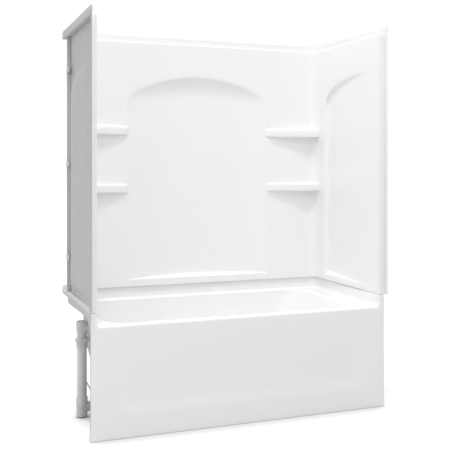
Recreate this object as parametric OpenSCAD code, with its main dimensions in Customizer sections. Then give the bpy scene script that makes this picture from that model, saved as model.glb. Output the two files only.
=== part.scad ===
// Bath with a three-piece wall set and a left-hand waste and overflow.
// Everything is drawn with Y = 0 at the apron's front and then moved to the middle of the depth.

/* [Whole unit] */
// Length along the back wall, outside the nailing flanges
unit_l = 1530; // [1400:5:1700]
// Depth from the apron's front to the rear face of the back flange
unit_w = 771; // [740:1:860]
// Height of the walls' top flange above the floor
unit_h = 1968; // [1850:1:2200]
// Thickness of the moulded skin
skin = 4; // [3:0.5:5]
// Width of the raised ledge and of the end walls' front returns
end_w = 30; // [26:1:50]
// Depth of the ledge and cavity behind the back wall's face
back_w = 52; // [44:1:70]

/* [Nailing flange] */
// Thickness of the nailing flanges
flange_t = 3; // [2:0.5:4]
// How far the end walls' flanges reach in front of the apron
flange_out = 33; // [20:1:45]
// How far the flanges rise above the walls' top ledge
flange_up = 36; // [20:1:50]
// Radius of the flange's front top corner
flange_r = 20; // [8:1:30]

/* [Bath] */
// Height of the deck
deck_z = 520; // [450:1:560]
// Height of the ledge that the walls stand on, above the deck
ledge_h = 59; // [40:1:80]
// Radius of the apron's top edge
edge_r = 12; // [8:1:20]
// Width of the returns behind the apron's ends and foot
apron_return = 24; // [12:1:40]
// Depth of the panel pressed into the apron
panel_d = 1.5; // [0.5:0.5:2.5]
// Margin of the apron panel at each end
panel_side = 150; // [100:5:250]
// Height of the apron panel's lower edge
panel_z = 145; // [100:5:200]
// Height of the apron panel
panel_h = 250; // [150:5:300]
// Corner radius of the apron panel
panel_r = 90; // [40:5:120]
// Height of the skirt that hangs at each end of the ledge
skirt_h = 35; // [20:1:60]
// Radius of the gusset between the skirt and the apron
gusset_r = 115; // [60:5:150]
// Height of the rear tiling flange above the ledge
tile_flange_h = 25; // [15:1:40]
// How far the rear skirt hangs below the ledge
rear_skirt_h = 18; // [10:1:40]

/* [Well] */
// Width of the deck in front of the well
front_deck = 38; // [30:1:70]
// Width of the deck behind the well, up to the ledge's face
back_deck = 23; // [10:1:60]
// Width of the deck at the drain end, up to the ledge's face
drain_deck = 49; // [40:1:80]
// Width of the deck at the head end, up to the ledge's face
head_deck = 110; // [60:1:150]
// Height of the well's floor
floor_z = 135; // [120:1:180]
// Corner radius of the well's opening
well_r = 130; // [90:5:160]
// Radius between the well's floor and its sides
floor_r = 70; // [40:5:90]
// How far the front and back sides lean in at the floor
side_lean = 35; // [20:1:60]
// How far the drain end leans in at the floor
drain_lean = 46; // [30:1:80]
// How far the backrest leans in at the floor
back_lean = 165; // [100:5:220]
// Height above which the drain end is upright
upright_z = 345; // [300:5:380]

/* [Walls] */
// Thickness of the seal strip between the ledge and the walls
seal_t = 2; // [1:0.5:4]
// Radius of the bullnose at the end walls' front edge
nose_r = 14; // [8:1:20]
// Radius of the cove in the back corners
cove_r = 46; // [25:1:60]
// How far the back wall wraps forward along the end walls
wrap = 64; // [55:1:100]
// Gap in the seam between an end wall and the back wall
seam = 0.3; // [0.2:0.1:1]
// Width of the joint flanges behind each seam
joint_w = 25; // [20:1:26]

/* [Back recess] */
// Half the width of the back wall's recess
bay_hw = 418; // [300:1:440]
// Height of the recess's lower edge
bay_z = 625; // [600:1:700]
// Height at which the arch springs
bay_spring = 1595; // [1480:5:1640]
// Rise of the arch
bay_rise = 153; // [80:1:200]
// Depth of the recess at its middle
bay_bow = 30; // [10:1:34]
// Fullness of the arch: 2 is an ellipse and lower is flatter at the shoulders
bay_power = 1.8; // [1.6:0.1:2]

/* [End recess] */
// Where the end wall's recess starts, from the apron's front
niche_front = 103; // [80:1:150]
// Distance from the recess's rear edge to the seam with the back wall
niche_inset = 70; // [60:1:150]
// Height of its lower edge
niche_z = 625; // [600:1:700]
// Height at which its quarter arch springs
niche_spring = 1616; // [1480:1:1660]
// Rise of its quarter arch
niche_rise = 134; // [80:1:180]
// Depth of the recess at its rear edge
niche_depth = 19; // [8:1:20]

/* [Shelves] */
// Thickness of the shelves' front edge
shelf_t = 48; // [20:1:60]
// Height of the upper shelves' top
shelf_high = 1466; // [1350:1:1500]
// Height of the lower shelves' top
shelf_low = 1148; // [1000:1:1200]
// Length of a shelf along the back wall
shelf_l = 312; // [200:1:312]
// Depth of a shelf at the end wall
shelf_d = 57; // [40:1:57]

/* [Wall clips] */
// Height of each clip
clip_h = 26; // [15:1:40]
// Length of a clip's arm along the end wall
clip_arm = 70; // [30:1:100]
// Thickness of a clip
clip_t = 3; // [2:0.5:4]
// Heights of the clips' middles
clip_low = 768; // [700:1:900]
// Height of the middle clip
clip_mid = 1254; // [1100:1:1400]
// Height of the top clip
clip_high = 1745; // [1500:1:1800]

/* [Feet] */
// Radius of a support foot
foot_r = 28; // [20:1:35]
// Wall of a support foot
foot_wall = 4; // [3:0.5:8]
// Thickness of the soft pad under a foot
pad_t = 4; // [2:0.5:8]
// Distance between feet along the bath
foot_pitch = 340; // [250:5:350]
// Distance between the front and rear feet
foot_gap = 370; // [300:5:380]

/* [Waste pipes] */
// Distance of the upright pipe's axis from the unit's left end
riser_in = 33; // [32.5:0.5:35]
// Outside radius of the pipes
pipe_r = 24.15; // [20:0.05:25]
// Wall of the pipes
pipe_wall = 3.7; // [2:0.1:4]
// Wall of the hubs and sockets round a pipe
hub_wall = 4.5; // [3:0.1:5]
// Height of the level pipe's axis
branch_z = 50; // [45:1:60]
// Height of the tee's outlet above the floor
outlet_z = 6; // [2:1:12]
// Depth of the socket in the tee's outlet
outlet_d = 20; // [12:1:20]
// Wall of the tee's body and outlet
tee_wall = 3; // [2:0.1:4]
// Height of the tee's upper socket above the level pipe's axis
tee_socket_z = 14; // [10:1:20]
// Length of the tee's upper socket
tee_socket_l = 35; // [20:1:40]
// Length of the tee's branch from the upright pipe's axis
branch_l = 67; // [50:1:80]
// Length of the coupling sleeve
coupling_l = 50; // [30:1:60]

/* [Overflow] */
// Height of the overflow's axis below the deck
overflow_down = 77; // [70:1:90]
// Height of the slip nut's lower face below the overflow's axis
nut_down = 72; // [68:1:80]
// Height of the slip nut
nut_h = 23; // [18:1:28]
// Outside radius of the slip nut
nut_r = 31.5; // [30:0.5:31.5]
// Height of the threaded hub below the nut
hub_h = 26; // [15:1:30]
// Wall of the threaded hub on the pipe's top
thread_wall = 3.35; // [2.5:0.05:3.5]
// Thickness of the slip washer
washer_h = 5; // [3:0.5:8]
// Outside radius of the elbow's head
head_r = 29; // [28:0.5:30]
// Height of the elbow's head above the overflow's axis
head_up = 32; // [30:1:36]
// Radius of the elbow's flange and of the overflow plate
plate_r = 38; // [34:1:42]
// Radius of the overflow passage
over_bore = 24; // [22:0.5:25]
// Thickness of the overflow gasket
over_gasket_t = 3; // [2:0.5:4]
// Thickness of the overflow plate
plate_t = 5; // [3:0.5:6]
// Radius of the ring that the plate's screws and inlets lie on
screw_ring = 20; // [19:0.5:21]
// Radius of a plate screw
screw_r = 2.5; // [2:0.1:3]
// Radius of a water inlet in the plate
inlet_r = 4; // [3:0.5:4.5]

/* [Knob] */
// Radius of the turn knob
knob_r = 27; // [24:0.5:32]
// Length of the turn knob
knob_l = 20; // [12:1:30]
// Number of grips round the knob
knob_grips = 6; // [4:1:8]
// Depth of a grip
grip_d = 3; // [1:0.5:4]
// Radius of the knob's shaft
shaft_r = 5; // [4:0.5:6]
// Radius of the crank on the shaft
crank_r = 13; // [10:0.5:14]
// Thickness of the crank
crank_t = 4; // [3:0.5:5]

/* [Drain] */
// Distance of the drain from the upright pipe's axis
drain_out = 212; // [190:1:260]
// Radius of the drain flange
drain_r = 37; // [34:0.5:42]
// Thickness of the drain flange's rim
rim_t = 3.5; // [2:0.5:5]
// Outside radius of the drain flange's sleeve
sleeve_r = 22.5; // [20:0.5:24]
// Wall of the drain flange's sleeve
sleeve_wall = 3; // [2:0.5:4]
// Length of the sleeve below the floor of the well
sleeve_l = 35; // [25:1:38]
// Width of the drain flange's cross bars
bar_w = 4; // [3:0.5:6]
// Wall of the elbow's and the shoe's castings
cast_wall = 5; // [4:0.5:7]
// Thickness of the gasket on the shoe
shoe_gasket_t = 4; // [2:0.5:5]
// Depth of the shoe below the level pipe's axis
shoe_down = 28; // [26:1:32]

/* [Stopper] */
// Radius of the stopper's cap
cap_r = 31; // [28:0.5:34]
// Thickness of the stopper's cap at its edge
cap_t = 4; // [3:0.5:6]
// Rise of the cap's dome
cap_dome = 3; // [1:0.5:5]
// Thickness of the stopper's seal ring
ring_t = 2.5; // [1.5:0.5:4]
// Radius of the stopper's stem
stem_r = 4; // [3:0.5:5]
// How far the stopper lifts
lift = 12; // [6:1:14]
// Radius of the lift plunger
plunger_r = 5; // [4:0.5:6]

/* [Cable] */
// Radius of the drain cable's sheath
cable_r = 2.5; // [2:0.25:3]
// Distance of the cable behind the upright pipe's axis
cable_back = 36; // [35.5:0.5:39]
// Radius of a cable nut
cable_nut_r = 5.5; // [5:0.5:7]
// Length of a cable nut
cable_nut_l = 14; // [10:1:20]
// Radius of the boss that takes a cable nut
boss_r = 7.5; // [7:0.5:8]
// Height of the cable's end above the level pipe's axis
cable_end_up = 40; // [38:1:44]

/* [Fits] */
// Radial clearance of a shaft that turns or slides
run = 0.05; // [0.02:0.01:0.1]
// Gap between faces of pieces that move past each other
gap = 0.3; // [0.2:0.05:0.5]
// Radial clearance of a pipe in a socket
slip = 0.05; // [0.02:0.01:0.15]

/* [Hidden] */
$fn = 64;
fine = 720;
hull_fn = 28;
arch_steps = 14;
over = 1; // how far a cut runs past a face

half_l = unit_l / 2;
mid_y = (unit_w - flange_out) / 2;
side_x = half_l - end_w;
back_y = unit_w - back_w;
ledge_z = deck_z + ledge_h;
wall_z = ledge_z + seal_t;
wall_top = unit_h - flange_up;
wrap_y = back_y - wrap;
side_rear = wrap_y - seam;
niche_rear = wrap_y - niche_inset;
joint_x = side_x + joint_w;
tile_y = unit_w - flange_t;

well_left = -side_x + drain_deck;
well_right = side_x - head_deck;
well_front = front_deck;
well_back = back_y - back_deck;
under_z = floor_z - skin;

riser_x = -half_l + riser_in;
riser_y = unit_w / 2;
pipe_bore = pipe_r - pipe_wall;
hub_r = pipe_r + hub_wall;
tee_r = pipe_r + tee_wall;
drain_x = riser_x + drain_out;
over_z = deck_z - overflow_down;
nut_z = over_z - nut_down;
joint_z = nut_z + 2;
tee_socket_bottom = branch_z + tee_socket_z;
tee_stop_z = tee_socket_bottom + pipe_wall;
tee_branch_x = riser_x + branch_l;
well_end = well_left - skin;
elbow_face = well_end - over_gasket_t;
elbow_flange_t = 4;
plate_face = well_left + plate_t;
head_bore = head_r - cast_wall;
thread_r = pipe_r + thread_wall;
screw_head_h = 2;
screw_head_r = 1.8 * screw_r;
lug_r = over_bore - screw_ring + over;
lug_l = 9;
lug_x = elbow_face - elbow_flange_t - lug_l;
crank_x = lug_x - gap - crank_t;
knob_back = plate_face + screw_head_h + gap;
shoe_in = sleeve_r + slip;
shoe_r = shoe_in + cast_wall;
shoe_top = under_z - shoe_gasket_t;
shoe_bottom = branch_z - shoe_down;
shoe_socket_l = 30;
sleeve_bottom = floor_z - sleeve_l;
rim_z = floor_z + rim_t;
cap_z = rim_z + gap + ring_t;
bar_z = sleeve_bottom + bar_w;
bar_h = 6;
bar_lip = 0.5;
hub_post_r = 8;
stem_bottom = sleeve_bottom - lift;
cable_x = riser_x + 7;
cable_y = riser_y + cable_back;
cable_top = over_z - head_up;
cable_boss_l = 22;
cable_end_z = branch_z + cable_end_up;
cable_end_x = drain_x - shoe_r - cable_boss_l;
cable_sides = 8;
foot_top = under_z;

// Route of the drain cable's middle, from the overflow elbow to the shoe
cable_route = [
    [cable_x, cable_y, cable_top], [cable_x, cable_y, 380], [cable_x, cable_y, 340],
    [cable_x, cable_y, 300], [cable_x, cable_y, 265], [cable_x + 1, cable_y, 240],
    [cable_x + 4, cable_y, 215], [cable_x + 10, cable_y - 1, 192],
    [cable_x + 19, cable_y - 3, 170], [cable_x + 29, cable_y - 7, 148],
    [cable_x + 40, cable_y - 13, 128], [cable_x + 56, cable_y - 21, 110],
    [cable_x + 76, cable_y - 29, 98], [cable_x + 98, cable_y - 34, 92],
    [cable_x + 120, riser_y, cable_end_z], [cable_end_x - 20, riser_y, cable_end_z],
    [cable_end_x, riser_y, cable_end_z]
];

// Moves a piece drawn from the apron's front to the middle of the unit's depth
module seat() { translate([0, -mid_y, 0]) children(); }

// Places what is drawn round the upright pipe's axis
module at_riser(z = 0) { translate([riser_x, riser_y, z]) children(); }

// Places what is drawn round the drain's axis
module at_drain(z = 0) { translate([drain_x, riser_y, z]) children(); }

// Places what is drawn along +Z so that it runs along +X from x, at the overflow's axis
module at_overflow(x) { translate([x, riser_y, over_z]) rotate([0, 90, 0]) children(); }

// Places what is drawn along +Z so that it runs along +X from x, at the level pipe's axis
module at_branch(x) { translate([x, riser_y, branch_z]) rotate([0, 90, 0]) children(); }

// Ring with its foot at z = 0
module ring(r_out, r_in, h) {
    difference() {
        cylinder(r = r_out, h = h);
        translate([0, 0, -over]) cylinder(r = r_in, h = h + 2 * over);
    }
}

// Flat shape with all four corners round
module rounded(x0, y0, x1, y1, r) {
    translate([x0 + r, y0]) square([x1 - x0 - 2 * r, y1 - y0]);
    translate([x0, y0 + r]) square([x1 - x0, y1 - y0 - 2 * r]);
    for (x = [x0 + r, x1 - r], y = [y0 + r, y1 - r]) translate([x, y]) circle(r);
}

// Flat shape with its lowest left corner round
module nosed(x0, y0, x1, y1, r) {
    translate([x0 + r, y0]) square([x1 - x0 - r, y1 - y0]);
    translate([x0, y0 + r]) square([x1 - x0, y1 - y0 - r]);
    translate([x0 + r, y0 + r]) circle(r);
}

// Plan of the back bay: straight sides from y0 and two round corners at y1
module bay_plan(hw, y0, y1, r) {
    intersection() {
        translate([-hw, y0]) square([2 * hw, y1 - y0]);
        union() {
            translate([-hw, y0 - r]) square([2 * hw, y1 - y0]);
            translate([-hw + r, y0 - r]) square([2 * (hw - r), y1 - y0 + r]);
            for (s = [-1, 1]) translate([s * (hw - r), y1 - r]) circle(r);
        }
    }
}

// Turns a flat shape in Y and Z into a plate from x, towards +X
module plate_yz(x, t) { translate([x, 0, 0]) rotate([90, 0, 90]) linear_extrude(t) children(); }

// Turns a flat shape in X and Z into a plate from y, towards +Y
module plate_xz(y, t) {
    translate([0, y + t, 0]) rotate([90, 0, 0]) linear_extrude(t) children();
}

// Section of the apron and the deck's front edge, in Y and Z
module apron_section() {
    difference() {
        union() {
            square([skin, deck_z - edge_r]);
            square([apron_return, skin]);
            translate([edge_r, deck_z - edge_r]) circle(edge_r);
            translate([edge_r, deck_z - skin]) square([well_front - edge_r, skin]);
        }
        translate([edge_r, deck_z - edge_r]) circle(edge_r - skin);
        translate([edge_r, deck_z - 2 * edge_r - over]) square([edge_r + over, 2 * edge_r - skin + over]);
        translate([skin, deck_z - 2 * edge_r - over]) square([edge_r, edge_r + over]);
    }
}

// Section of the ledge along the back, in Y and Z
module ledge_section() {
    translate([back_y - skin, deck_z - skin]) square([skin, ledge_h + skin]);
    translate([back_y - skin, ledge_z - skin]) square([back_w + skin, skin]);
    translate([tile_y, ledge_z - rear_skirt_h]) square([flange_t, rear_skirt_h + tile_flange_h]);
}

// Section of the ledge at an end, in X and Z
module end_section() {
    translate([side_x, deck_z - skin]) square([skin, ledge_h + skin]);
    translate([side_x, ledge_z - skin]) square([end_w, skin]);
    translate([half_l - skin, ledge_z - skirt_h]) square([skin, skirt_h]);
}

// Gusset between the end skirt and the apron, in Y and Z
module gusset_shape() {
    difference() {
        translate([0, ledge_z - skirt_h - gusset_r]) square(gusset_r + skin);
        translate([gusset_r + skin, ledge_z - skirt_h - gusset_r]) circle(gusset_r);
    }
}

// Solid of the well, grown by g on every side; the top reaches up past the deck by rise
module well_shape(g, rise) {
    hull() {
        for (y = [well_front + well_r, well_back - well_r]) {
            translate([well_left + well_r, y, upright_z])
                cylinder(r = well_r + g, h = deck_z - upright_z + rise, $fn = hull_fn);
            translate([well_right - well_r, y, deck_z - skin - g])
                cylinder(r = well_r + g, h = skin + g + rise, $fn = hull_fn);
        }
        for (y = [well_front + side_lean + floor_r, well_back - side_lean - floor_r])
            for (x = [well_left + drain_lean + floor_r, well_right - back_lean - floor_r]) {
                translate([x, y, floor_z + floor_r]) sphere(floor_r + g, $fn = hull_fn);
                translate([x, y, floor_z - g]) cylinder(r = floor_r / 10, h = floor_r);
            }
    }
}

module tub() {
    color("white") seat() difference() {
        union() {
            plate_yz(-half_l, unit_l) apron_section();
            translate([-side_x, well_front - over, deck_z - skin])
                cube([2 * side_x, back_y - well_front + over, skin]);
            well_shape(skin, 0);
            plate_yz(-half_l, unit_l) ledge_section();
            for (s = [0, 1]) mirror([s, 0, 0]) {
                plate_xz(0, unit_w - flange_t) end_section();
                plate_xz(0, skin) translate([side_x, deck_z - edge_r]) square([end_w, ledge_h + edge_r]);
                plate_yz(half_l - skin, skin) gusset_shape();
                translate([half_l - skin, 0, 0]) cube([skin, apron_return, deck_z]);
            }
        }
        well_shape(0, over);
        translate([-side_x, 0, deck_z])
            translate([0, skin, 0]) cube([2 * side_x, back_y - 2 * skin, ledge_h + over]);
        plate_xz(-over, over + panel_d)
            rounded(-half_l + panel_side, panel_z, half_l - panel_side, panel_z + panel_h, panel_r);
        at_drain(under_z - over) cylinder(r = sleeve_r + slip, h = skin + 2 * over);
        at_overflow(well_end - over) cylinder(r = over_bore, h = skin + 2 * over);
    }
}

// Outline of the back recess, a little wider than its bow and grown by g, in X and Z
module bay_outline(g) {
    hw = bay_hw + over + g;
    polygon(concat(
        [[-hw, bay_z - g], [hw, bay_z - g]],
        [for (i = [0:2 * arch_steps])
            let (a = 90 * i / arch_steps, c = cos(a), s = sin(a), p = 2 / bay_power)
                [sign(c) * hw * pow(abs(c), p),
                 bay_spring + (bay_rise + g) * pow(abs(s), p)]]
    ));
}

// Space of the bowed back recess, grown by g, from y on
module bay_space(g, y) {
    bow_r = (bay_hw * bay_hw + bay_bow * bay_bow) / (2 * bay_bow);
    intersection() {
        plate_xz(y, bay_bow + skin + over) bay_outline(g);
        translate([0, back_y + bay_bow - bow_r, bay_z - skin - over])
            cylinder(r = bow_r + g, h = bay_spring + bay_rise - bay_z + 3 * skin, $fn = fine);
    }
}

// One shelf in the right-hand corner, with its top at z
module shelf(z) {
    mid = skin / 2;
    translate([0, 0, z - shelf_t]) linear_extrude(shelf_t) intersection() {
        polygon([[side_x + mid, back_y - shelf_d], [side_x + mid, back_y + mid],
                 [side_x - shelf_l, back_y + mid], [side_x - shelf_l, back_y],
                 [side_x, back_y - shelf_d]]);
        bay_plan(side_x + mid, wrap_y, back_y + mid, cove_r + mid);
    }
}

// Plan of the space between the back wall's face and its outer edges, in X and Y
module rim_plan(hx, y1) {
    difference() {
        translate([-hx, wrap_y]) square([2 * hx, y1 - wrap_y]);
        translate([0, -over]) bay_plan(side_x, wrap_y, back_y + over, cove_r);
    }
}

module back_wall() {
    color("white") seat() difference() {
        union() {
            translate([0, 0, wall_z]) linear_extrude(wall_top - wall_z) {
                difference() {
                    bay_plan(side_x + skin, wrap_y, back_y + skin, cove_r + skin);
                    translate([0, -over]) bay_plan(side_x, wrap_y, back_y + over, cove_r);
                }
                for (s = [0, 1]) mirror([s, 0]) translate([side_x, wrap_y]) square([joint_w, skin]);
            }
            translate([0, 0, wall_top - skin]) linear_extrude(skin) rim_plan(half_l, unit_w);
            translate([0, 0, wall_z]) linear_extrude(skin) rim_plan(joint_x, tile_y - skin);
            translate([0, 0, wall_top - skin]) linear_extrude(flange_up + skin) difference() {
                translate([-half_l, wrap_y]) square([unit_l, unit_w - wrap_y]);
                translate([-half_l + flange_t, wrap_y - over])
                    square([unit_l - 2 * flange_t, tile_y - wrap_y + over]);
            }
            bay_space(skin, back_y);
            for (s = [0, 1]) mirror([s, 0, 0]) for (z = [shelf_low, shelf_high]) shelf(z);
        }
        bay_space(0, back_y - over);
    }
}

// Outline of the end wall's recess, grown by g, in Y and Z
module niche_outline(g) {
    polygon(concat(
        [[niche_front - g, niche_z - g], [niche_rear + g, niche_z - g]],
        [for (i = [0:arch_steps])
            let (a = 90 * i / arch_steps)
                [niche_front + (niche_rear - niche_front + g) * cos(a),
                 niche_spring + (niche_rise + g) * sin(a)]],
        [[niche_front - g, niche_spring + niche_rise + g]]
    ));
}

// Space of the end wall's recess, which deepens towards the rear, grown by g, from x on
module niche_space(g, x) {
    intersection() {
        plate_yz(x, end_w) niche_outline(g);
        translate([0, 0, niche_z - skin - over])
            linear_extrude(niche_spring + niche_rise - niche_z + 3 * skin)
                polygon([[x, niche_front - g], [side_x + g, niche_front - g],
                         [side_x + g + niche_depth, niche_rear + g], [x, niche_rear + g]]);
    }
}

// Nailing flange of an end wall, in Y and Z
module end_flange_shape() {
    difference() {
        union() {
            translate([-flange_out, wall_z]) square([side_rear + flange_out, unit_h - wall_z - flange_r]);
            translate([-flange_out + flange_r, wall_z])
                square([side_rear + flange_out - flange_r, unit_h - wall_z]);
            translate([-flange_out + flange_r, unit_h - flange_r]) circle(flange_r);
        }
        translate([skin, wall_z - over]) square([side_rear, wall_top - skin - wall_z + over]);
    }
}

// End wall on the right-hand side
module end_wall() {
    difference() {
        union() {
            translate([0, 0, wall_z]) linear_extrude(wall_top - wall_z) {
                difference() {
                    nosed(side_x, 0, joint_x, side_rear, nose_r);
                    nosed(side_x + skin, skin, joint_x + over, side_rear - skin, nose_r - skin);
                }
                translate([joint_x - over, 0]) square([half_l - joint_x, skin]);
            }
            translate([0, 0, wall_top - skin]) linear_extrude(skin)
                nosed(side_x, 0, half_l, side_rear, nose_r);
            translate([0, 0, wall_z]) linear_extrude(skin)
                nosed(side_x, 0, joint_x, side_rear, nose_r);
            plate_yz(half_l - flange_t, flange_t) end_flange_shape();
            niche_space(skin, side_x);
        }
        niche_space(0, side_x - over);
    }
}

module right_wall() { color("white") seat() end_wall(); }

module left_wall() { color("white") seat() mirror([1, 0, 0]) end_wall(); }

module wall_seal() {
    lip = 2 * skin;
    color("dimgray") seat() translate([0, 0, ledge_z]) linear_extrude(seal_t) difference() {
        translate([-joint_x + skin, lip]) square([2 * (joint_x - skin), tile_y - 2 * skin - lip]);
        translate([-side_x - skin, 0]) square([2 * (side_x + skin), back_y + skin]);
    }
}

// Clips over one right-hand seam: a channel on the joint flanges with an arm along the end wall
module seam_clips() {
    inner = skin + seam / 2;
    mid = wrap_y - seam / 2;
    for (z = [clip_low, clip_mid, clip_high]) translate([0, 0, z - clip_h / 2]) {
        linear_extrude(clip_h) {
            translate([joint_x, mid - inner - clip_t]) square([clip_t, 2 * (inner + clip_t)]);
            for (y = [mid - inner - clip_t, mid + inner])
                translate([side_x + 2 * skin, y]) square([joint_w - 2 * skin, clip_t]);
            translate([joint_x, mid - inner - clip_t - clip_arm]) square([clip_t, clip_arm]);
        }
    }
}

module right_wall_clips() { color("whitesmoke") seat() seam_clips(); }

module left_wall_clips() { color("whitesmoke") seat() mirror([1, 0, 0]) seam_clips(); }

// Places the six feet under the well
module at_feet() {
    mid_x = (well_left + well_right - back_lean) / 2;
    for (i = [-1:1], s = [-1, 1])
        translate([mid_x + i * foot_pitch, (well_front + well_back + s * foot_gap) / 2, 0]) children();
}

module support_feet() {
    color("lightgray") seat() at_feet() difference() {
        translate([0, 0, pad_t]) cylinder(r = foot_r, h = foot_top - pad_t);
        translate([0, 0, pad_t + foot_wall])
            cylinder(r = foot_r - foot_wall, h = foot_top - pad_t - 2 * foot_wall);
    }
}

module foot_pads() { color("dimgray") seat() at_feet() cylinder(r = foot_r, h = pad_t); }

module overflow_pipe() {
    color("gainsboro") seat() at_riser(tee_stop_z) ring(pipe_r, pipe_bore, joint_z - tee_stop_z);
}

module overflow_hub() {
    color("gainsboro") seat() at_riser(nut_z - hub_h) ring(thread_r, pipe_r, joint_z - nut_z + hub_h);
}

module overflow_washer() {
    color("dimgray") seat() at_riser(joint_z) ring(thread_r, pipe_r, washer_h);
}

module overflow_nut() {
    cavity = joint_z - nut_z + washer_h;
    color("gainsboro") seat() at_riser(nut_z) difference() {
        cylinder(r = nut_r, h = nut_h);
        translate([0, 0, -over]) cylinder(r = thread_r, h = cavity + over);
        cylinder(r = pipe_r, h = nut_h + over);
    }
}

module overflow_elbow() {
    color("gainsboro") seat() difference() {
        union() {
            at_riser(joint_z) cylinder(r = pipe_r, h = over_z - head_up - joint_z);
            at_riser(over_z - head_up) cylinder(r1 = pipe_r, r2 = head_r, h = head_up);
            at_riser(over_z) cylinder(r = head_r, h = head_up);
            at_overflow(riser_x) cylinder(r = head_r, h = elbow_face - riser_x);
            at_overflow(elbow_face - elbow_flange_t) cylinder(r = plate_r, h = elbow_flange_t);
            translate([cable_x, cable_y, cable_top]) cylinder(r = boss_r, h = cable_boss_l);
            translate([cable_x - boss_r / 2, riser_y + head_bore, cable_top + cable_nut_r])
                cube([boss_r, cable_back - head_bore, cable_boss_l - cable_nut_r]);
        }
        difference() {
            union() {
                at_riser(joint_z - over) cylinder(r = pipe_bore, h = over_z - joint_z);
                at_riser(over_z - head_bore) cylinder(r = head_bore, h = head_bore + head_up - cast_wall);
                at_overflow(riser_x) cylinder(r = over_bore, h = elbow_face - riser_x + over);
            }
            for (s = [-1, 1]) translate([0, s * screw_ring, 0])
                at_overflow(lug_x) cylinder(r = lug_r, h = lug_l);
        }
        for (s = [-1, 1]) translate([0, s * screw_ring, 0])
            at_overflow(lug_x - over) cylinder(r = screw_r, h = lug_l + 2 * over);
        translate([cable_x, cable_y, cable_top - over]) cylinder(r = cable_r, h = cable_nut_l + over);
    }
}

module overflow_gasket() {
    color("dimgray") seat() at_overflow(elbow_face) ring(plate_r, over_bore, over_gasket_t);
}

module overflow_plate() {
    boss_l = plate_face - elbow_face;
    color("silver") seat() difference() {
        union() {
            at_overflow(well_left) cylinder(r = plate_r, h = plate_t);
            at_overflow(plate_face - boss_l) cylinder(r = 2 * shaft_r, h = boss_l);
        }
        at_overflow(plate_face - boss_l - over) cylinder(r = shaft_r + run, h = boss_l + 2 * over);
        for (s = [-1, 1]) translate([0, s * screw_ring, 0])
            at_overflow(well_left - over) cylinder(r = screw_r, h = plate_t + 2 * over);
        for (a = [-50, 0, 50]) translate([0, screw_ring * sin(a), -screw_ring * cos(a)])
            at_overflow(well_left - over) cylinder(r = inlet_r, h = plate_t + 2 * over);
    }
}

module overflow_screws() {
    color("silver") seat() for (s = [-1, 1]) translate([0, s * screw_ring, 0]) {
        at_overflow(lug_x) cylinder(r = screw_r, h = plate_face - lug_x);
        at_overflow(plate_face) cylinder(r = screw_head_r, h = screw_head_h);
    }
}

module overflow_knob() {
    color("silver") seat() difference() {
        union() {
            at_overflow(knob_back) cylinder(r = knob_r, h = knob_l);
            at_overflow(plate_face + gap) cylinder(r = 2 * shaft_r, h = screw_head_h);
        }
        for (i = [0:knob_grips - 1]) let (a = 360 * i / knob_grips, r = knob_r + 2 * grip_d)
            translate([0, r * sin(a), r * cos(a)])
                at_overflow(knob_back + knob_l / 3) cylinder(r = 3 * grip_d, h = knob_l);
        at_overflow(plate_face) cylinder(r = shaft_r, h = knob_l / 2 + screw_head_h);
    }
}

module knob_shaft() {
    end_x = plate_face + knob_l / 2 + screw_head_h;
    color("silver") seat() at_overflow(crank_x) cylinder(r = shaft_r, h = end_x - crank_x);
}

module cable_crank() {
    color("whitesmoke") seat() difference() {
        union() {
            at_overflow(crank_x) cylinder(r = 2 * shaft_r, h = crank_t);
            translate([crank_x, riser_y - shaft_r, over_z - crank_r])
                cube([crank_t, 2 * shaft_r, crank_r]);
        }
        at_overflow(crank_x - over) cylinder(r = shaft_r, h = crank_t + 2 * over);
    }
}

module waste_tee() {
    color("gainsboro") seat() difference() {
        union() {
            at_riser(outlet_z) cylinder(r = tee_r, h = tee_socket_bottom - outlet_z);
            at_riser(tee_socket_bottom) cylinder(r = hub_r, h = tee_socket_l);
            at_branch(riser_x) cylinder(r = pipe_r, h = branch_l);
        }
        at_riser(outlet_z - over) cylinder(r = pipe_bore, h = tee_stop_z - outlet_z + 2 * over);
        at_riser(tee_stop_z) cylinder(r = pipe_r, h = tee_socket_l);
        at_riser(outlet_z - over) cylinder(r = pipe_r + slip, h = outlet_d + over);
        at_branch(riser_x) cylinder(r = pipe_bore, h = branch_l + over);
    }
}

module waste_coupling() {
    color("gainsboro") seat() at_branch(tee_branch_x - coupling_l / 2) ring(hub_r, pipe_r, coupling_l);
}

module waste_pipe() {
    pipe_end = drain_x - shoe_r;
    color("gainsboro") seat() at_branch(tee_branch_x) ring(pipe_r, pipe_bore, pipe_end - tee_branch_x);
}

module drain_shoe() {
    socket_x = drain_x - shoe_r - shoe_socket_l;
    color("gainsboro") seat() difference() {
        union() {
            at_drain(shoe_bottom) cylinder(r = shoe_r, h = shoe_top - shoe_bottom);
            at_drain(shoe_top - elbow_flange_t) cylinder(r = drain_r, h = elbow_flange_t);
            at_branch(socket_x) cylinder(r = hub_r, h = drain_x - socket_x);
            translate([cable_end_x, riser_y, cable_end_z]) rotate([0, 90, 0])
                cylinder(r = boss_r, h = cable_boss_l + cast_wall);
        }
        difference() {
            union() {
                at_drain(shoe_bottom + cast_wall) cylinder(r = shoe_in, h = shoe_top - shoe_bottom);
                at_branch(drain_x - shoe_r) cylinder(r = pipe_bore, h = shoe_r);
            }
            at_drain(shoe_bottom) cylinder(r = plunger_r + sleeve_wall, h = branch_z - shoe_bottom);
        }
        at_branch(socket_x - over) cylinder(r = pipe_r, h = shoe_socket_l + over);
        at_drain(shoe_bottom + cast_wall) cylinder(r = plunger_r + run, h = branch_z);
        translate([cable_end_x - over, riser_y, cable_end_z]) rotate([0, 90, 0])
            cylinder(r = cable_r, h = cable_nut_l + over);
    }
}

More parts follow.
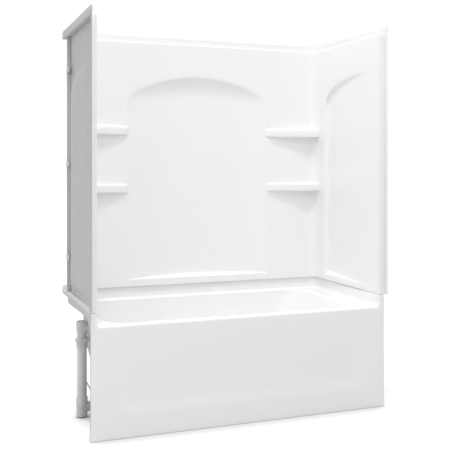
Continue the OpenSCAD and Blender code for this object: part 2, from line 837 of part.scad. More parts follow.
module shoe_gasket() {
    color("dimgray") seat() at_drain(shoe_top) ring(drain_r, sleeve_r, shoe_gasket_t);
}

module drain_flange() {
    bore = sleeve_r - sleeve_wall;
    color("silver") seat() difference() {
        union() {
            at_drain(floor_z) cylinder(r = drain_r, h = rim_t);
            at_drain(sleeve_bottom) cylinder(r = sleeve_r, h = sleeve_l + rim_t / 2);
        }
        at_drain(sleeve_bottom - over) cylinder(r = bore, h = bar_z - sleeve_bottom + over);
        at_drain(bar_z + bar_h) cylinder(r = bore, h = rim_z - bar_z - bar_h + over);
        at_drain(bar_z - over) linear_extrude(bar_h + 2 * over) difference() {
            circle(bore - bar_lip);
            for (a = [45, 135]) rotate(a) square([2 * bore, bar_w], center = true);
            circle(hub_post_r);
        }
        at_drain(bar_z - over) cylinder(r = stem_r + run, h = bar_h + 2 * over);
    }
}

module stopper_cap() {
    dome_r = (cap_r * cap_r + cap_dome * cap_dome) / (2 * cap_dome);
    color("silver") seat() at_drain(cap_z) {
        cylinder(r = cap_r, h = cap_t);
        intersection() {
            translate([0, 0, cap_t + cap_dome - dome_r]) sphere(dome_r, $fn = fine / 4);
            cylinder(r = cap_r, h = cap_t + cap_dome);
        }
    }
}

module stopper_seal() {
    color("dimgray") seat() at_drain(cap_z - ring_t) ring(sleeve_r + ring_t, sleeve_r - sleeve_wall, ring_t);
}

module stopper_stem() {
    color("silver") seat() at_drain(stem_bottom) cylinder(r = stem_r, h = cap_z - stem_bottom);
}

module lift_plunger() {
    foot = shoe_bottom + cast_wall + gap;
    color("whitesmoke") seat() at_drain(foot) cylinder(r = plunger_r, h = stem_bottom - foot);
}

// Catmull-Rom point between b and c at share t
function smooth(a, b, c, d, t) =
    (2 * b + (c - a) * t + (2 * a - 5 * b + 4 * c - d) * t * t
        + (3 * b - a - 3 * c + d) * t * t * t) / 2;

// Route with extra points on a smooth curve between those given
function finer(p, n) = let (m = len(p) - 1)
    concat([for (i = [0:m - 1], j = [0:n - 1])
        smooth(p[max(i - 1, 0)], p[i], p[i + 1], p[min(i + 2, m)], j / n)], [p[m]]);

function unit(v) = v / norm(v);

// Tube of radius r along points p, as one closed skin
module tube(p, r, sides) {
    m = len(p) - 1;
    // the route never runs along Y, so Y gives each ring a steady side vector
    way = [for (i = [0:m]) unit(p[min(i + 1, m)] - p[max(i - 1, 0)])];
    side = [for (t = way) unit(cross([0, 1, 0], t))];
    up = [for (i = [0:m]) cross(way[i], side[i])];
    rings = [for (i = [0:m], k = [0:sides - 1]) let (a = 360 * k / sides)
        p[i] + r * (cos(a) * side[i] + sin(a) * up[i])];
    skin_faces = [for (i = [0:m - 1], k = [0:sides - 1]) let (n = (k + 1) % sides)
        [i * sides + k, i * sides + n, (i + 1) * sides + n, (i + 1) * sides + k]];
    ends = [[for (k = [sides - 1:-1:0]) k], [for (k = [0:sides - 1]) m * sides + k]];
    tris = [for (f = skin_faces) each [[f[0], f[2], f[1]], [f[0], f[3], f[2]]]];
    caps = [for (end = ends, k = [1:sides - 2]) [end[0], end[k + 1], end[k]]];
    polyhedron(points = rings, faces = concat(tris, caps));
}

module drain_cable() { color("gray") seat() tube(finer(cable_route, 3), cable_r, cable_sides); }

module cable_nuts() {
    color("gainsboro") seat() {
        translate([cable_x, cable_y, cable_top - cable_nut_l]) ring(cable_nut_r, cable_r, cable_nut_l);
        translate([cable_end_x - cable_nut_l, riser_y, cable_end_z]) rotate([0, 90, 0])
            ring(cable_nut_r, cable_r, cable_nut_l);
    }
}

tub();
back_wall();
left_wall();
right_wall();
wall_seal();
left_wall_clips();
right_wall_clips();
support_feet();
foot_pads();
overflow_elbow();
overflow_gasket();
overflow_plate();
overflow_screws();
overflow_knob();
knob_shaft();
cable_crank();
overflow_nut();
overflow_washer();
overflow_hub();
overflow_pipe();
waste_tee();
waste_coupling();
waste_pipe();
drain_shoe();
shoe_gasket();
drain_flange();
stopper_cap();
stopper_seal();
stopper_stem();
lift_plunger();
drain_cable();
cable_nuts();
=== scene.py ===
import math

import bmesh
import bpy
import numpy as np
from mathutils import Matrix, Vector


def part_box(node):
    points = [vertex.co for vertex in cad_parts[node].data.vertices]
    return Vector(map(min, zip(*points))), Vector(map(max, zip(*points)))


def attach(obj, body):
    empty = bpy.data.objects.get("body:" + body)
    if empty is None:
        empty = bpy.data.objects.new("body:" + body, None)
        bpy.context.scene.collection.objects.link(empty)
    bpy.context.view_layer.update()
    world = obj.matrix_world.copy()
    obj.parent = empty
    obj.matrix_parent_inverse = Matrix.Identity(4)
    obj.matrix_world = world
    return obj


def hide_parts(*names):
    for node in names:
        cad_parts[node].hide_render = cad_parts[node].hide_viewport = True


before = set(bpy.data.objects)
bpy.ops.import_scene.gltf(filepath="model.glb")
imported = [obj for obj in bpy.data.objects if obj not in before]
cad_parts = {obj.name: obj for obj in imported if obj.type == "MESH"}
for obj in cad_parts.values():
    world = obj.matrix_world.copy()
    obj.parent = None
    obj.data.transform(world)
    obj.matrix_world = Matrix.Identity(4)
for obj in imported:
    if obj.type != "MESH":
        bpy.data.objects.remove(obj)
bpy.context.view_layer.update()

# Places that come from the frame, in metres

tub_low, tub_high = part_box("tub")
seal_low, seal_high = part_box("wall_seal")
back_low, back_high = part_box("back_wall")
FRONT = tub_low.y
REAR = tub_high.y
HALF_L = tub_high.x
LEDGE_Z = seal_low.z
WALL_Z = seal_high.z
TOP_Z = back_high.z
SEAM_Y = back_low.y
RISER_Y = sum(c.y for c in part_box("overflow_pipe")) / 2
DRAIN_X, DRAIN_Y = ((a + b) / 2 for a, b in list(zip(*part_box("drain_flange")))[:2])
OVER_Z = sum(c.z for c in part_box("overflow_gasket")) / 2
SLEEVE_R = (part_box("stopper_seal")[1].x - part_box("stopper_seal")[0].x) / 2

# The plan that the bath and the walls share, in metres

END_W, BACK_W = 0.030, 0.052
SIDE_X = HALF_L - END_W
BACK_Y = REAR - BACK_W
TOP_FLANGE_H = 0.036
WALL_TOP = TOP_Z - TOP_FLANGE_H
CORNER_R = 0.046
CORNER_AT = (SIDE_X - CORNER_R, BACK_Y - CORNER_R)
EDGE_R = 0.004
EDGE_STEPS = 4

# Limits that the meshes are made with

WELD = 2e-5
TINY = 1e-6
HAIR = 0.0001
SHARP = math.radians(34)
ROUNDED_FROM = math.radians(40)
FLAT = math.radians(0.5)
DIAGONAL = 45


def unit(v):
    return v / np.maximum(np.linalg.norm(v, axis=-1, keepdims=True), TINY)


def smooth(x, start=0.0, end=1.0):
    """Rises gently from 0 at start to 1 at end."""
    t = np.clip((np.asarray(x, float) - start) / (end - start), 0, 1)
    return t * t * (3 - 2 * t)


def turn(start, end, n):
    """Angles of n steps from start to end, both in degrees."""
    return np.radians(np.linspace(start, end, n + 1))


def at_height(flat, z):
    """Points in X and Y with one height for all, or each its own."""
    return np.column_stack([flat, np.full(len(flat), z)])


def to_rectangle(points, half_x, back_y):
    """Where a U of points with coved corners lands on a rectangle round it."""
    cx, cy = CORNER_AT
    x, y = points[:, 0], points[:, 1]
    side = np.sign(x)
    turned = np.degrees(np.arctan2(y - cy, np.abs(x) - cx)) / DIAGONAL
    at_corner = (np.abs(x) > cx + WELD) & (y > cy + WELD)
    low, high = at_corner & (turned <= 1), at_corner & (turned > 1)
    target = np.stack([side * half_x, y], -1)
    at_back = np.abs(x) <= cx + WELD
    target[at_back, 0], target[at_back, 1] = x[at_back], back_y
    target[low, 1] = (cy + (back_y - cy) * turned)[low]
    target[high, 0] = (side * (cx + (half_x - cx) * (2 - turned)))[high]
    target[high, 1] = back_y
    return target


def new_object(name, data):
    obj = bpy.data.objects.new(name, data)
    bpy.context.scene.collection.objects.link(obj)
    return obj


def mesh_from(bm, name):
    """An edit mesh as a new mesh."""
    mesh = bpy.data.meshes.new(name)
    bm.to_mesh(mesh)
    bm.free()
    return mesh


def applied(obj, name):
    """An object's mesh with its modifiers applied. The object is removed."""
    mesh = bpy.data.meshes.new_from_object(obj.evaluated_get(bpy.context.evaluated_depsgraph_get()))
    mesh.name = name
    bpy.data.objects.remove(obj)
    return mesh


class Sheet:
    """Points and faces of one moulded sheet. Points that meet are welded in its mesh."""

    def __init__(self):
        self.points, self.faces, self.count = [], [], 0

    def add(self, points, faces):
        points = np.asarray(points, float).reshape(-1, 3)
        self.points.append(points)
        self.faces += [[i + self.count for i in face] for face in faces]
        self.count += len(points)

    def grid(self, rows):
        """Quads between neighbouring rows of points."""
        rows = np.asarray(rows, float)
        k = np.arange(rows.shape[0] * rows.shape[1]).reshape(rows.shape[:2])
        quads = np.stack([k[:-1, :-1], k[:-1, 1:], k[1:, 1:], k[1:, :-1]], -1)
        self.add(rows, quads.reshape(-1, 4).tolist())

    def polygon(self, loop):
        self.add(loop, [list(range(len(loop)))])

    def mesh(self, name, near, way):
        """The sheet as a mesh whose face nearest to the point near looks along way."""
        mesh = bpy.data.meshes.new(name)
        mesh.from_pydata(np.concatenate(self.points).tolist(), [], self.faces)
        bm = bmesh.new()
        bm.from_mesh(mesh)
        bmesh.ops.remove_doubles(bm, verts=bm.verts, dist=WELD)
        bmesh.ops.dissolve_degenerate(bm, edges=bm.edges, dist=WELD)
        bmesh.ops.recalc_face_normals(bm, faces=bm.faces)
        nearest = min(bm.faces, key=lambda f: (f.calc_center_median() - Vector(near)).length)
        if nearest.normal.dot(Vector(way)) < 0:
            bmesh.ops.reverse_faces(bm, faces=bm.faces)
        bm.to_mesh(mesh)
        bm.free()
        return mesh


def with_modifiers(mesh, *modifiers):
    """The mesh with those (type, settings) modifiers applied, smooth except at sharp edges."""
    obj = new_object(mesh.name, mesh)
    for _ in range(2):
        mesh.materials.append(None)
    for kind, settings in modifiers:
        m = obj.modifiers.new(kind.title(), kind)
        for key, value in settings.items():
            setattr(m, key, value)
    made = applied(obj, mesh.name)
    made.polygons.foreach_set("use_smooth", [True] * len(made.polygons))
    made.set_sharp_from_angle(angle=SHARP)
    return made


def wall(thickness):
    """Solidify towards the back of the faces, whose other side takes the next material."""
    return "SOLIDIFY", dict(thickness=thickness, offset=-1, use_even_offset=True, material_offset=1)


def rounding(width, segments=2):
    return "BEVEL", dict(width=width, segments=segments, limit_method="ANGLE",
                         angle_limit=ROUNDED_FROM, use_clamp_overlap=True)


def joined(name, *meshes):
    """Several meshes as one, with the materials' numbers kept."""
    bm = bmesh.new()
    for mesh in meshes:
        bm.from_mesh(mesh)
    mesh = mesh_from(bm, name)
    mesh.set_sharp_from_angle(angle=SHARP)
    return mesh


def piece(name, mesh, body, slot, *materials, stands_for=()):
    """Shows a mesh as a piece that rides on a body."""
    obj = new_object(name, mesh)
    for i, m in enumerate(materials):
        if i < len(mesh.materials):
            mesh.materials[i] = m
        else:
            mesh.materials.append(m)
    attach(obj, body)
    if stands_for:
        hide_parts(*stands_for)


# The bath

DECK_Z = 0.520
DRAIN_LIP = 0.0035
FLOOR_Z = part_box("drain_flange")[1].z - DRAIN_LIP
SKIN = 0.0038
RIM_FRONT_R = 0.012
COVE_FRONT_R, COVE_BACK_R, COVE_CHANGE_Y = 0.014, 0.006, FRONT + 0.1
SETBACK = 0.012
FRONT_RIM_W, BACK_RIM_W = 0.044, 0.023
WELL_X = (-0.686, 0.625)
WELL_Y = (FRONT + FRONT_RIM_W, BACK_Y - BACK_RIM_W)
WELL_R, WELL_CORNER_R, WELL_FLOOR_R = 0.130, 0.150, 0.070
CORNER_TIGHTENS = 0.55
WELL_EDGE_R, BACKREST_EDGE_R, BACKREST_EDGE_TURN = 0.008, 0.018, 65
BACKREST_FROM, BACKREST_TO = 0.30, 0.60
SIDE_LEAN, DRAIN_LEAN, BACKREST_LEAN = 0.035, 0.052, 0.165
UPRIGHT_Z = 0.400
RIM_SHARES, LEDGE_SHARES = (0.35, 0.7), (0.33, 0.67)
LONG_STEPS, SHORT_STEPS, CORNER_STEPS, CORNER_ARC_STEPS = 96, 30, 24, 10
ROLL_STEPS, WELL_STEPS, FLOOR_STEPS = 8, 16, 12


def closed_ring(corners, z):
    """A closed row of points round four corners, each a list of points in X and Y."""
    parts = []
    for i, corner in enumerate(corners):
        steps = SHORT_STEPS if i in (0, 2) else LONG_STEPS
        share = np.linspace(0, 1, steps + 1)[1:-1, None]
        following = corners[(i + 1) % 4]
        parts += [corner, corner[-1] + (following[0] - corner[-1]) * share]
    return at_height(np.concatenate([*parts, corners[0][:1]]), z)


def well_ring(inset_front, inset_back, inset_left, inset_right, r, z, z_right):
    """The well's outline with each side moved in by its inset, at its own height under the backrest."""
    x0, x1 = WELL_X[0] + inset_left, WELL_X[1] - inset_right
    y0, y1 = WELL_Y[0] + inset_front, WELL_Y[1] - inset_back
    corners = []
    for cx, cy, start in ((x1 - r, y0 + r, 270), (x1 - r, y1 - r, 0),
                          (x0 + r, y1 - r, 90), (x0 + r, y0 + r, 180)):
        a = turn(start, start + 90, CORNER_STEPS)
        corners.append(np.column_stack([cx + r * np.cos(a), cy + r * np.sin(a)]))
    ring = closed_ring(corners, z)
    ring[:, 2] += (z_right - z) * smooth(ring[:, 0], BACKREST_FROM, BACKREST_TO)
    return ring


def rear_share(y):
    """0 at the front of the ledge's sides, 1 from the back corners on."""
    return smooth(y, COVE_CHANGE_Y, BACK_Y - CORNER_R)


def cove_r(y):
    return COVE_FRONT_R + (COVE_BACK_R - COVE_FRONT_R) * rear_share(y)


def ledge_foot(points, out):
    """The deck's outline below a U of points on the ledge's face: in by the cove, out by the setback."""
    move = SETBACK * rear_share(points[:, 1]) - cove_r(points[:, 1])
    return points + out * move[:, None]


def deck_corners():
    """The deck's outline inside its cove: square corners in front and round ones at the back."""
    y0 = FRONT + RIM_FRONT_R
    cx, cy = CORNER_AT
    half = CORNER_STEPS // 2
    run = (CORNER_STEPS - CORNER_ARC_STEPS) // 2
    corners = []
    for well_x, side in ((WELL_X[1] - WELL_R, 1), (WELL_X[0] + WELL_R, -1)):
        front = [(x, y0) for x in np.linspace(well_x, side * (SIDE_X - COVE_FRONT_R), half + 1)]
        rise = np.array([(side * SIDE_X, y0 + WELL_R * t) for t in np.linspace(0, 1, half + 1)[1:]])
        rise = ledge_foot(rise, np.array([(side, 0)] * len(rise)))
        back = [((side * SIDE_X, y), (side, 0)) for y in np.linspace(WELL_Y[1] - WELL_R, cy, run + 1)]
        back += [((side * (cx + CORNER_R * math.cos(a)), cy + CORNER_R * math.sin(a)),
                  (side * math.cos(a), math.sin(a))) for a in turn(0, 90, CORNER_ARC_STEPS)[1:]]
        back += [((side * x, BACK_Y), (0, 1)) for x in np.linspace(cx, side * well_x, run + 1)[1:]]
        points, out = (np.array(v, float) for v in zip(*back))
        corners += [np.concatenate([front, rise]), ledge_foot(points, out)]
    front_right, back_right, front_left, back_left = corners
    return [front_right, back_right, back_left[::-1], front_left[::-1]]


def deck_outline():
    """The deck's outline as a closed row, its straight sides narrowing their cove towards the back."""
    ring = closed_ring(deck_corners(), DECK_Z)
    side = np.abs(ring[:, 0]) > SIDE_X - COVE_BACK_R - WELD
    level = side & (ring[:, 1] > FRONT + RIM_FRONT_R + WELD) & (ring[:, 1] < BACK_Y - CORNER_R)
    y = ring[:, 1]
    ring[level, 0] = (np.sign(ring[:, 0]) * (SIDE_X + SETBACK * rear_share(y) - cove_r(y)))[level]
    return ring


def well_rings():
    """Rows from the deck's outline down the well to its floor."""
    rows = [deck_outline()]
    rolled = math.radians(BACKREST_EDGE_TURN)
    roll = []
    for a, b in zip(turn(0, 90, ROLL_STEPS), np.linspace(0, rolled, ROLL_STEPS + 1)):
        out = -WELL_EDGE_R * (1 - math.sin(a))
        right = -BACKREST_EDGE_R * (math.sin(rolled) - math.sin(b))
        roll.append(well_ring(out, out, out, right, WELL_R - out, DECK_Z - WELL_EDGE_R * (1 - math.cos(a)),
                              DECK_Z - BACKREST_EDGE_R * (1 - math.cos(b))))
    rows += [rows[0] + (roll[0] - rows[0]) * share for share in RIM_SHARES] + roll
    top, top_right = DECK_Z - WELL_EDGE_R, DECK_Z - BACKREST_EDGE_R * (1 - math.cos(rolled))
    fillet_z = FLOOR_Z + WELL_FLOOR_R
    for t in [*np.linspace(0, 1, WELL_STEPS + 1)[1:], *(1 + np.sin(turn(0, 90, FLOOR_STEPS))[1:])]:
        into = max(0.0, t - 1)
        z, z_right = (high + (fillet_z - high) * min(t, 1.0) - WELL_FLOOR_R * into
                      for high in (top, top_right))
        curve = WELL_FLOOR_R * (1 - math.sqrt(1 - into * into))
        down, down_right = (top - z) / (top - FLOOR_Z), (top_right - z_right) / (top_right - FLOOR_Z)
        side = SIDE_LEAN * down + curve
        drain = DRAIN_LEAN * float(smooth(UPRIGHT_Z - z, 0, UPRIGHT_Z - FLOOR_Z)) + curve
        backrest = BACKREST_LEAN * down_right + curve
        r = WELL_R + (WELL_CORNER_R - WELL_R) * down - CORNER_TIGHTENS * curve
        rows.append(well_ring(side, side, drain, backrest, r, z, z_right))
    return rows


def ledge_path(deck):
    """The deck's outline from its front right corner round the back to its front left corner."""
    half = CORNER_STEPS // 2
    return deck[half:len(deck) - 1 - (LONG_STEPS - 1) - half]


def ledge_rows(path):
    """Rows from the deck's outline up the cove and the ledge's face, over the ledge and its outer edge."""
    x, y = path[:, 0], path[:, 1]
    cx, cy = CORNER_AT
    side = np.sign(x)
    at_back = np.abs(x) <= cx + WELD
    at_corner = (np.abs(x) > cx + WELD) & (y > cy + WELD)
    out = np.stack([side, np.zeros_like(x)], -1)
    out[at_back] = (0, 1)
    out[at_corner] = unit(np.stack([x - side * cx, y - cy], -1))[at_corner]
    outer = to_rectangle(path[:, :2], HALF_L, REAR)
    arc_share = np.degrees(np.arctan2(out[:, 1], np.abs(out[:, 0]))) / DIAGONAL
    high = at_corner & (arc_share > 1 + TINY)
    inset = np.stack([-side, np.zeros_like(x)], -1)
    inset[at_back] = (0, -1)
    inset[high] = (0, -1)
    mid = at_corner & (np.abs(arc_share - 1) < TINY)
    inset[mid] = np.stack([-side, -np.ones_like(x)], -1)[mid]
    cove = np.where(at_back | at_corner, COVE_BACK_R, cove_r(y))

    rows, front_r = [], []

    def row(flat, z, r):
        rows.append(at_height(flat, z))
        front_r.append(r)

    for a in turn(0, 90, ROLL_STEPS):
        ease = RIM_FRONT_R + (EDGE_R - RIM_FRONT_R) * float(smooth(a, 0, math.pi / 2))
        row(path[:, :2] + out * (cove * math.sin(a))[:, None], DECK_Z + cove * (1 - math.cos(a)), ease)
    for a in turn(0, 90, EDGE_STEPS):
        d = cove + EDGE_R * (1 - math.cos(a))
        row(path[:, :2] + out * d[:, None], LEDGE_Z - EDGE_R * (1 - math.sin(a)), EDGE_R)
    inner = rows[-1][:, :2]
    for share in LEDGE_SHARES:
        row(inner + (outer + inset * EDGE_R - inner) * share, LEDGE_Z, EDGE_R)
    for a in turn(0, 90, EDGE_STEPS):
        row(outer + inset * EDGE_R * (1 - math.sin(a)), LEDGE_Z - EDGE_R * (1 - math.cos(a)), EDGE_R)
    rows = np.array(rows)
    for end in (0, -1):
        rows[:, end, 1] = FRONT + np.array(front_r)
    return rows, np.array(front_r)


END_SOFT_W, END_SOFT_DEPTH, END_RISE, END_FADE = 0.030, 0.007, (0, 0.03), (0.47, 0.53)
FOOT_RETURN, END_RETURN, RETURN_POINTS_Z = 0.024, 0.007, (0.3, 0.15, EDGE_R)
GUSSET_R, GUSSET_STEPS, SKIRT_H, REAR_SKIRT_H = 0.115, 17, 0.035, 0.018
SKIRT_STEP_Y, SKIRT_BEVEL = FRONT + 0.537, 0.004
SKIRT_STEPS, APRON_STEPS = 23, 48
PANEL_DEPTH, PANEL_SLOPE = 0.0036, 0.070
PANEL_FOOT_Z, PANEL_SIDE_X, PANEL_LEAN = 0.098, 0.640, 0.24
PANEL_FADE = (0.20, 0.47)


def apron_relief(x, z):
    """How far the apron's panel lies behind its rim."""
    side = PANEL_SIDE_X + PANEL_LEAN * (z - PANEL_FOOT_Z)
    inside = smooth(z - PANEL_FOOT_Z, 0, PANEL_SLOPE) * smooth(side - np.abs(x), 0, PANEL_SLOPE)
    return PANEL_DEPTH * inside * (1 - smooth(z, *PANEL_FADE))


def end_skirt(sheet, top_row, front_edge, side):
    """The flat outer face of the ledge's skirt at one end, with its gusset and the apron's return."""
    x = side * HALF_L
    foot_y = FRONT + END_RETURN
    skirt_z, rear_z = LEDGE_Z - SKIRT_H, LEDGE_Z - REAR_SKIRT_H
    centre = (FRONT + EDGE_R + GUSSET_R, skirt_z - GUSSET_R)
    start = math.acos((centre[0] - foot_y) / GUSSET_R)
    lower = [(REAR, rear_z), (SKIRT_STEP_Y + SKIRT_BEVEL, rear_z), (SKIRT_STEP_Y, rear_z - SKIRT_BEVEL),
             (SKIRT_STEP_Y, skirt_z + SKIRT_BEVEL), (SKIRT_STEP_Y - SKIRT_BEVEL, skirt_z)]
    lower += [(centre[0] - GUSSET_R * math.cos(a), centre[1] + GUSSET_R * math.sin(a))
              for a in np.linspace(math.pi / 2, start, GUSSET_STEPS + 1)]
    lower += [(foot_y, z) for z in RETURN_POINTS_Z]
    loop = [tuple(p) for p in top_row] + [(x, y, z) for y, z in lower] + [tuple(p) for p in front_edge]
    sheet.polygon(loop)


def tub_sheet():
    """The whole bath as one sheet: deck and well, ledge, apron and skirts."""
    sheet = Sheet()
    rings = well_rings()
    sheet.grid(rings)
    sheet.polygon(rings[-1][:-1])
    deck = rings[0]
    path = ledge_path(deck)
    ledge, front_r = ledge_rows(path)
    sheet.grid(ledge)

    half = CORNER_STEPS // 2
    rim = np.concatenate([deck[len(deck) - 1 - (LONG_STEPS - 1) - half:-1], deck[:half + 1]])
    skirt_z = np.linspace(EDGE_R, LEDGE_Z - EDGE_R, SKIRT_STEPS + 1)
    right_skirt = [(HALF_L, z) for z in skirt_z[::-1][1:]]
    quarter = turn(0, 90, EDGE_STEPS)
    foot = [(HALF_L - EDGE_R + EDGE_R * math.cos(a), EDGE_R - EDGE_R * math.sin(a)) for a in quarter[1:]]
    foot += [(x, 0.0) for x in rim[::-1, 0]]
    foot += [(-HALF_L + EDGE_R - EDGE_R * math.sin(a), EDGE_R - EDGE_R * math.cos(a)) for a in quarter]
    left_skirt = [(-HALF_L, z) for z in skirt_z[1:-1]]
    upper = np.concatenate([ledge[::-1, -1], rim[1:-1], ledge[:, 0]])[:, [0, 2]]
    upper_r = np.concatenate([front_r[::-1], np.full(len(rim) - 2, RIM_FRONT_R), front_r])
    lower = np.array(right_skirt + foot + left_skirt)
    edge = np.concatenate([upper, lower])
    edge_r = np.concatenate([upper_r, np.full(len(lower), EDGE_R)])
    x, z = edge.T
    at_end = (np.abs(x) > HALF_L - WELD) * (1 - smooth(z, *END_FADE)) * smooth(z, *END_RISE)
    edge_w, edge_r = (edge_r + (soft - edge_r) * at_end for soft in (END_SOFT_W, END_SOFT_DEPTH))
    along = unit(edge - np.roll(edge, 1, 0)) + unit(np.roll(edge, -1, 0) - edge)
    away = unit(np.stack([-along[:, 1], along[:, 0]], -1))
    rows = []
    for a in turn(0, 90, ROLL_STEPS):
        flat = edge - away * (edge_w * (1 - math.cos(a)))[:, None]
        rows.append(np.stack([flat[:, 0], FRONT + edge_r * (1 - math.sin(a)), flat[:, 1]], -1))
    rows = np.array(rows)
    sheet.grid(np.concatenate([rows, rows[:, :1]], 1))

    outline = rows[-1]
    n_ledge, n_rim = len(ledge), len(rim)
    face_top = outline[n_ledge - 1:n_ledge - 1 + n_rim]
    first_foot = len(upper) + len(right_skirt) + EDGE_STEPS
    face_foot = outline[first_foot:first_foot + n_rim][::-1]
    share = np.linspace(0, 1, APRON_STEPS + 1)[:, None, None]
    face = face_top + (face_foot - face_top) * share
    face[..., 1] += apron_relief(face[..., 0], face[..., 2]) * (share[..., 0] > 0) * (share[..., 0] < 1)
    sheet.grid(face)
    right = np.concatenate([outline[n_ledge + n_rim - 2:first_foot + 1], face[1:-1, -1][::-1]])
    sheet.polygon(right)
    left = np.concatenate([outline[first_foot + n_rim - 1:], outline[:n_ledge], face[1:-1, 0]])
    sheet.polygon(left)

    foot_from, foot_to = first_foot - EDGE_STEPS, first_foot + n_rim + EDGE_STEPS
    foot_front = rows[0][foot_from:foot_to]
    foot_back = foot_front.copy()
    foot_back[:, 1] = FRONT + FOOT_RETURN
    sheet.grid([foot_front, foot_back])
    outer = ledge[-1]
    corner = int(np.argmin(np.abs(outer[:, 0] - HALF_L) + np.abs(outer[:, 1] - REAR)))
    other = int(np.argmin(np.abs(outer[:, 0] + HALF_L) + np.abs(outer[:, 1] - REAR)))
    front_right, front_left = rows[0][len(upper):foot_from][::-1], rows[0][foot_to:]
    end_skirt(sheet, outer[:corner + 1], [foot_front[0], *front_right], 1)
    end_skirt(sheet, outer[other:][::-1], [foot_front[-1], *front_left], -1)
    back_edge = outer[corner:other + 1]
    drop = back_edge.copy()
    drop[:, 2] = LEDGE_Z - REAR_SKIRT_H
    sheet.grid([back_edge, drop])
    return sheet


HOLE_LENGTH, HOLE_SIDES, OVERFLOW_HOLE_R, DRAIN_SEAT_W = 0.03, 64, 0.024, 0.001


def cutter(name, centre, axis, r):
    """A closed cylinder that a Boolean takes away."""
    bm = bmesh.new()
    bmesh.ops.create_cone(bm, cap_ends=True, segments=HOLE_SIDES, radius1=r, radius2=r, depth=HOLE_LENGTH)
    turned = Vector((0, 0, 1)).rotation_difference(Vector(axis)).to_matrix()
    bmesh.ops.rotate(bm, verts=bm.verts, matrix=turned)
    bmesh.ops.translate(bm, verts=bm.verts, vec=Vector(centre))
    return new_object(name, mesh_from(bm, name))


BARE_SIDE_W, PAINTED_SHADE_LEDGE_W, BARE_FACING = 0.0015, 0.028, 0.5


def back_finish_and_ledge_shade(mesh):
    """Gives the outward faces of the two ends the finish of the back, and paints the ledge's outer rim
    there with the same grey as painted shade.
    """
    for face in mesh.polygons:
        x, y, z = face.center
        side = abs(x) > HALF_L - BARE_SIDE_W and abs(face.normal.x) > BARE_FACING
        # Painted shade: the ledge's rim under the end walls takes the grey of the back.
        ledge = abs(x) > HALF_L - PAINTED_SHADE_LEDGE_W and abs(z - LEDGE_Z) < EDGE_R and y > FRONT + RIM_FRONT_R
        if side or ledge:
            face.material_index = 1


def bar_mesh(name, low, high, r):
    """A closed bar between two corners with rounded edges."""
    bm = bmesh.new()
    bmesh.ops.create_cube(bm, size=1)
    size, middle = [b - a for a, b in zip(low, high)], [(a + b) / 2 for a, b in zip(low, high)]
    bmesh.ops.scale(bm, verts=bm.verts, vec=size)
    bmesh.ops.translate(bm, verts=bm.verts, vec=middle)
    return with_modifiers(mesh_from(bm, name), rounding(r))


FLANGE_T, FLANGE_EDGE_R = 0.003, 0.0008


def make_tub(gloss, hidden):
    on_front_rim = (0, FRONT + FRONT_RIM_W / 2, DECK_Z)
    mesh = tub_sheet().mesh("tub_moulding", on_front_rim, (0, 0, 1))
    drain, overflow = (DRAIN_X, DRAIN_Y, FLOOR_Z), (WELL_X[0], RISER_Y, OVER_Z)
    holes = [cutter("drain_hole", drain, (0, 0, 1), SLEEVE_R - DRAIN_SEAT_W),
             cutter("overflow_hole", overflow, (1, 0, 0), OVERFLOW_HOLE_R)]
    cuts = [("BOOLEAN", dict(object=h, operation="DIFFERENCE", solver="EXACT")) for h in holes]
    shell = with_modifiers(mesh, wall(SKIN), *cuts)
    back_finish_and_ledge_shade(shell)
    for h in holes:
        bpy.data.objects.remove(h)
    flange = bar_mesh("tile_flange", (-HALF_L, REAR - FLANGE_T, LEDGE_Z - FLANGE_T),
                      (HALF_L, REAR - HAIR, tub_high.z), FLANGE_EDGE_R)
    whole = joined("tub_moulding", shell, flange)
    piece("tub_moulding", whole, "unit", "moulding", gloss, hidden, stands_for=["tub"])


# The walls

WALL_SKIN, WALL_FOOT, FACE_POINT_Z = 0.003, 0.022, 1.85
JOINT_R, JOINT_OUT, JOINT_EDGE_R, JOINT_TOP_GAP = 0.002, 0.025, 0.0005, 0.001
JOINT_STEPS, TOP_STEPS = 3, 5
TOP_R = 0.006
SEAM_GAP = 0.0003
RAMP_LEAST, RAMP_START = 0.15, -0.15
SOFFIT_POWER, SOFFIT_SOFT = 2.0, 0.001
FOOT_ROWS, RAMP_ROWS, FACE_ROWS, SOFFIT_ROWS, SOFFIT_CROWDING, CROWN_ROWS = 3, 6, 26, 16, 1.6, 10


def soft_rise(x, softness):
    """The positive part of x with its corner rounded off."""
    x = np.asarray(x, float)
    return (x + np.sqrt(x * x + softness * softness)) / 2


def soffit(v, height):
    """Share of the full depth at v below the edge of a coved soffit."""
    t = np.clip(soft_rise(v, SOFFIT_SOFT) / height, 0, 1)
    return 1 - (1 - t) ** SOFFIT_POWER


def recess_rows(foot, ramp, arch, cove, depth):
    """Heights and depths of a face's rows, for a recess with a sloping foot and a coved top."""
    lowest, highest = np.full_like(arch, WALL_Z + JOINT_R), np.full_like(arch, WALL_TOP - TOP_R)
    top = foot + ramp * (RAMP_LEAST + (1 - RAMP_LEAST) * depth / depth.max())

    def between(a, b, rows, crowding=1.0):
        return [a + (b - a) * (1 - (1 - t) ** crowding) for t in np.linspace(0, 1, rows + 1)[:-1]]

    z = np.array(between(lowest, foot, FOOT_ROWS) + between(foot, top, RAMP_ROWS)
                 + between(top, arch - cove, FACE_ROWS)
                 + between(arch - cove, arch, SOFFIT_ROWS, SOFFIT_CROWDING)
                 + between(arch, highest, CROWN_ROWS) + [highest])
    ramped = np.clip((z - foot) / (top - foot), 0, 1)
    return z, depth * smooth(ramped, RAMP_START, 1.0) * (ramped > 0) * soffit(arch - z, cove)


# The back wall

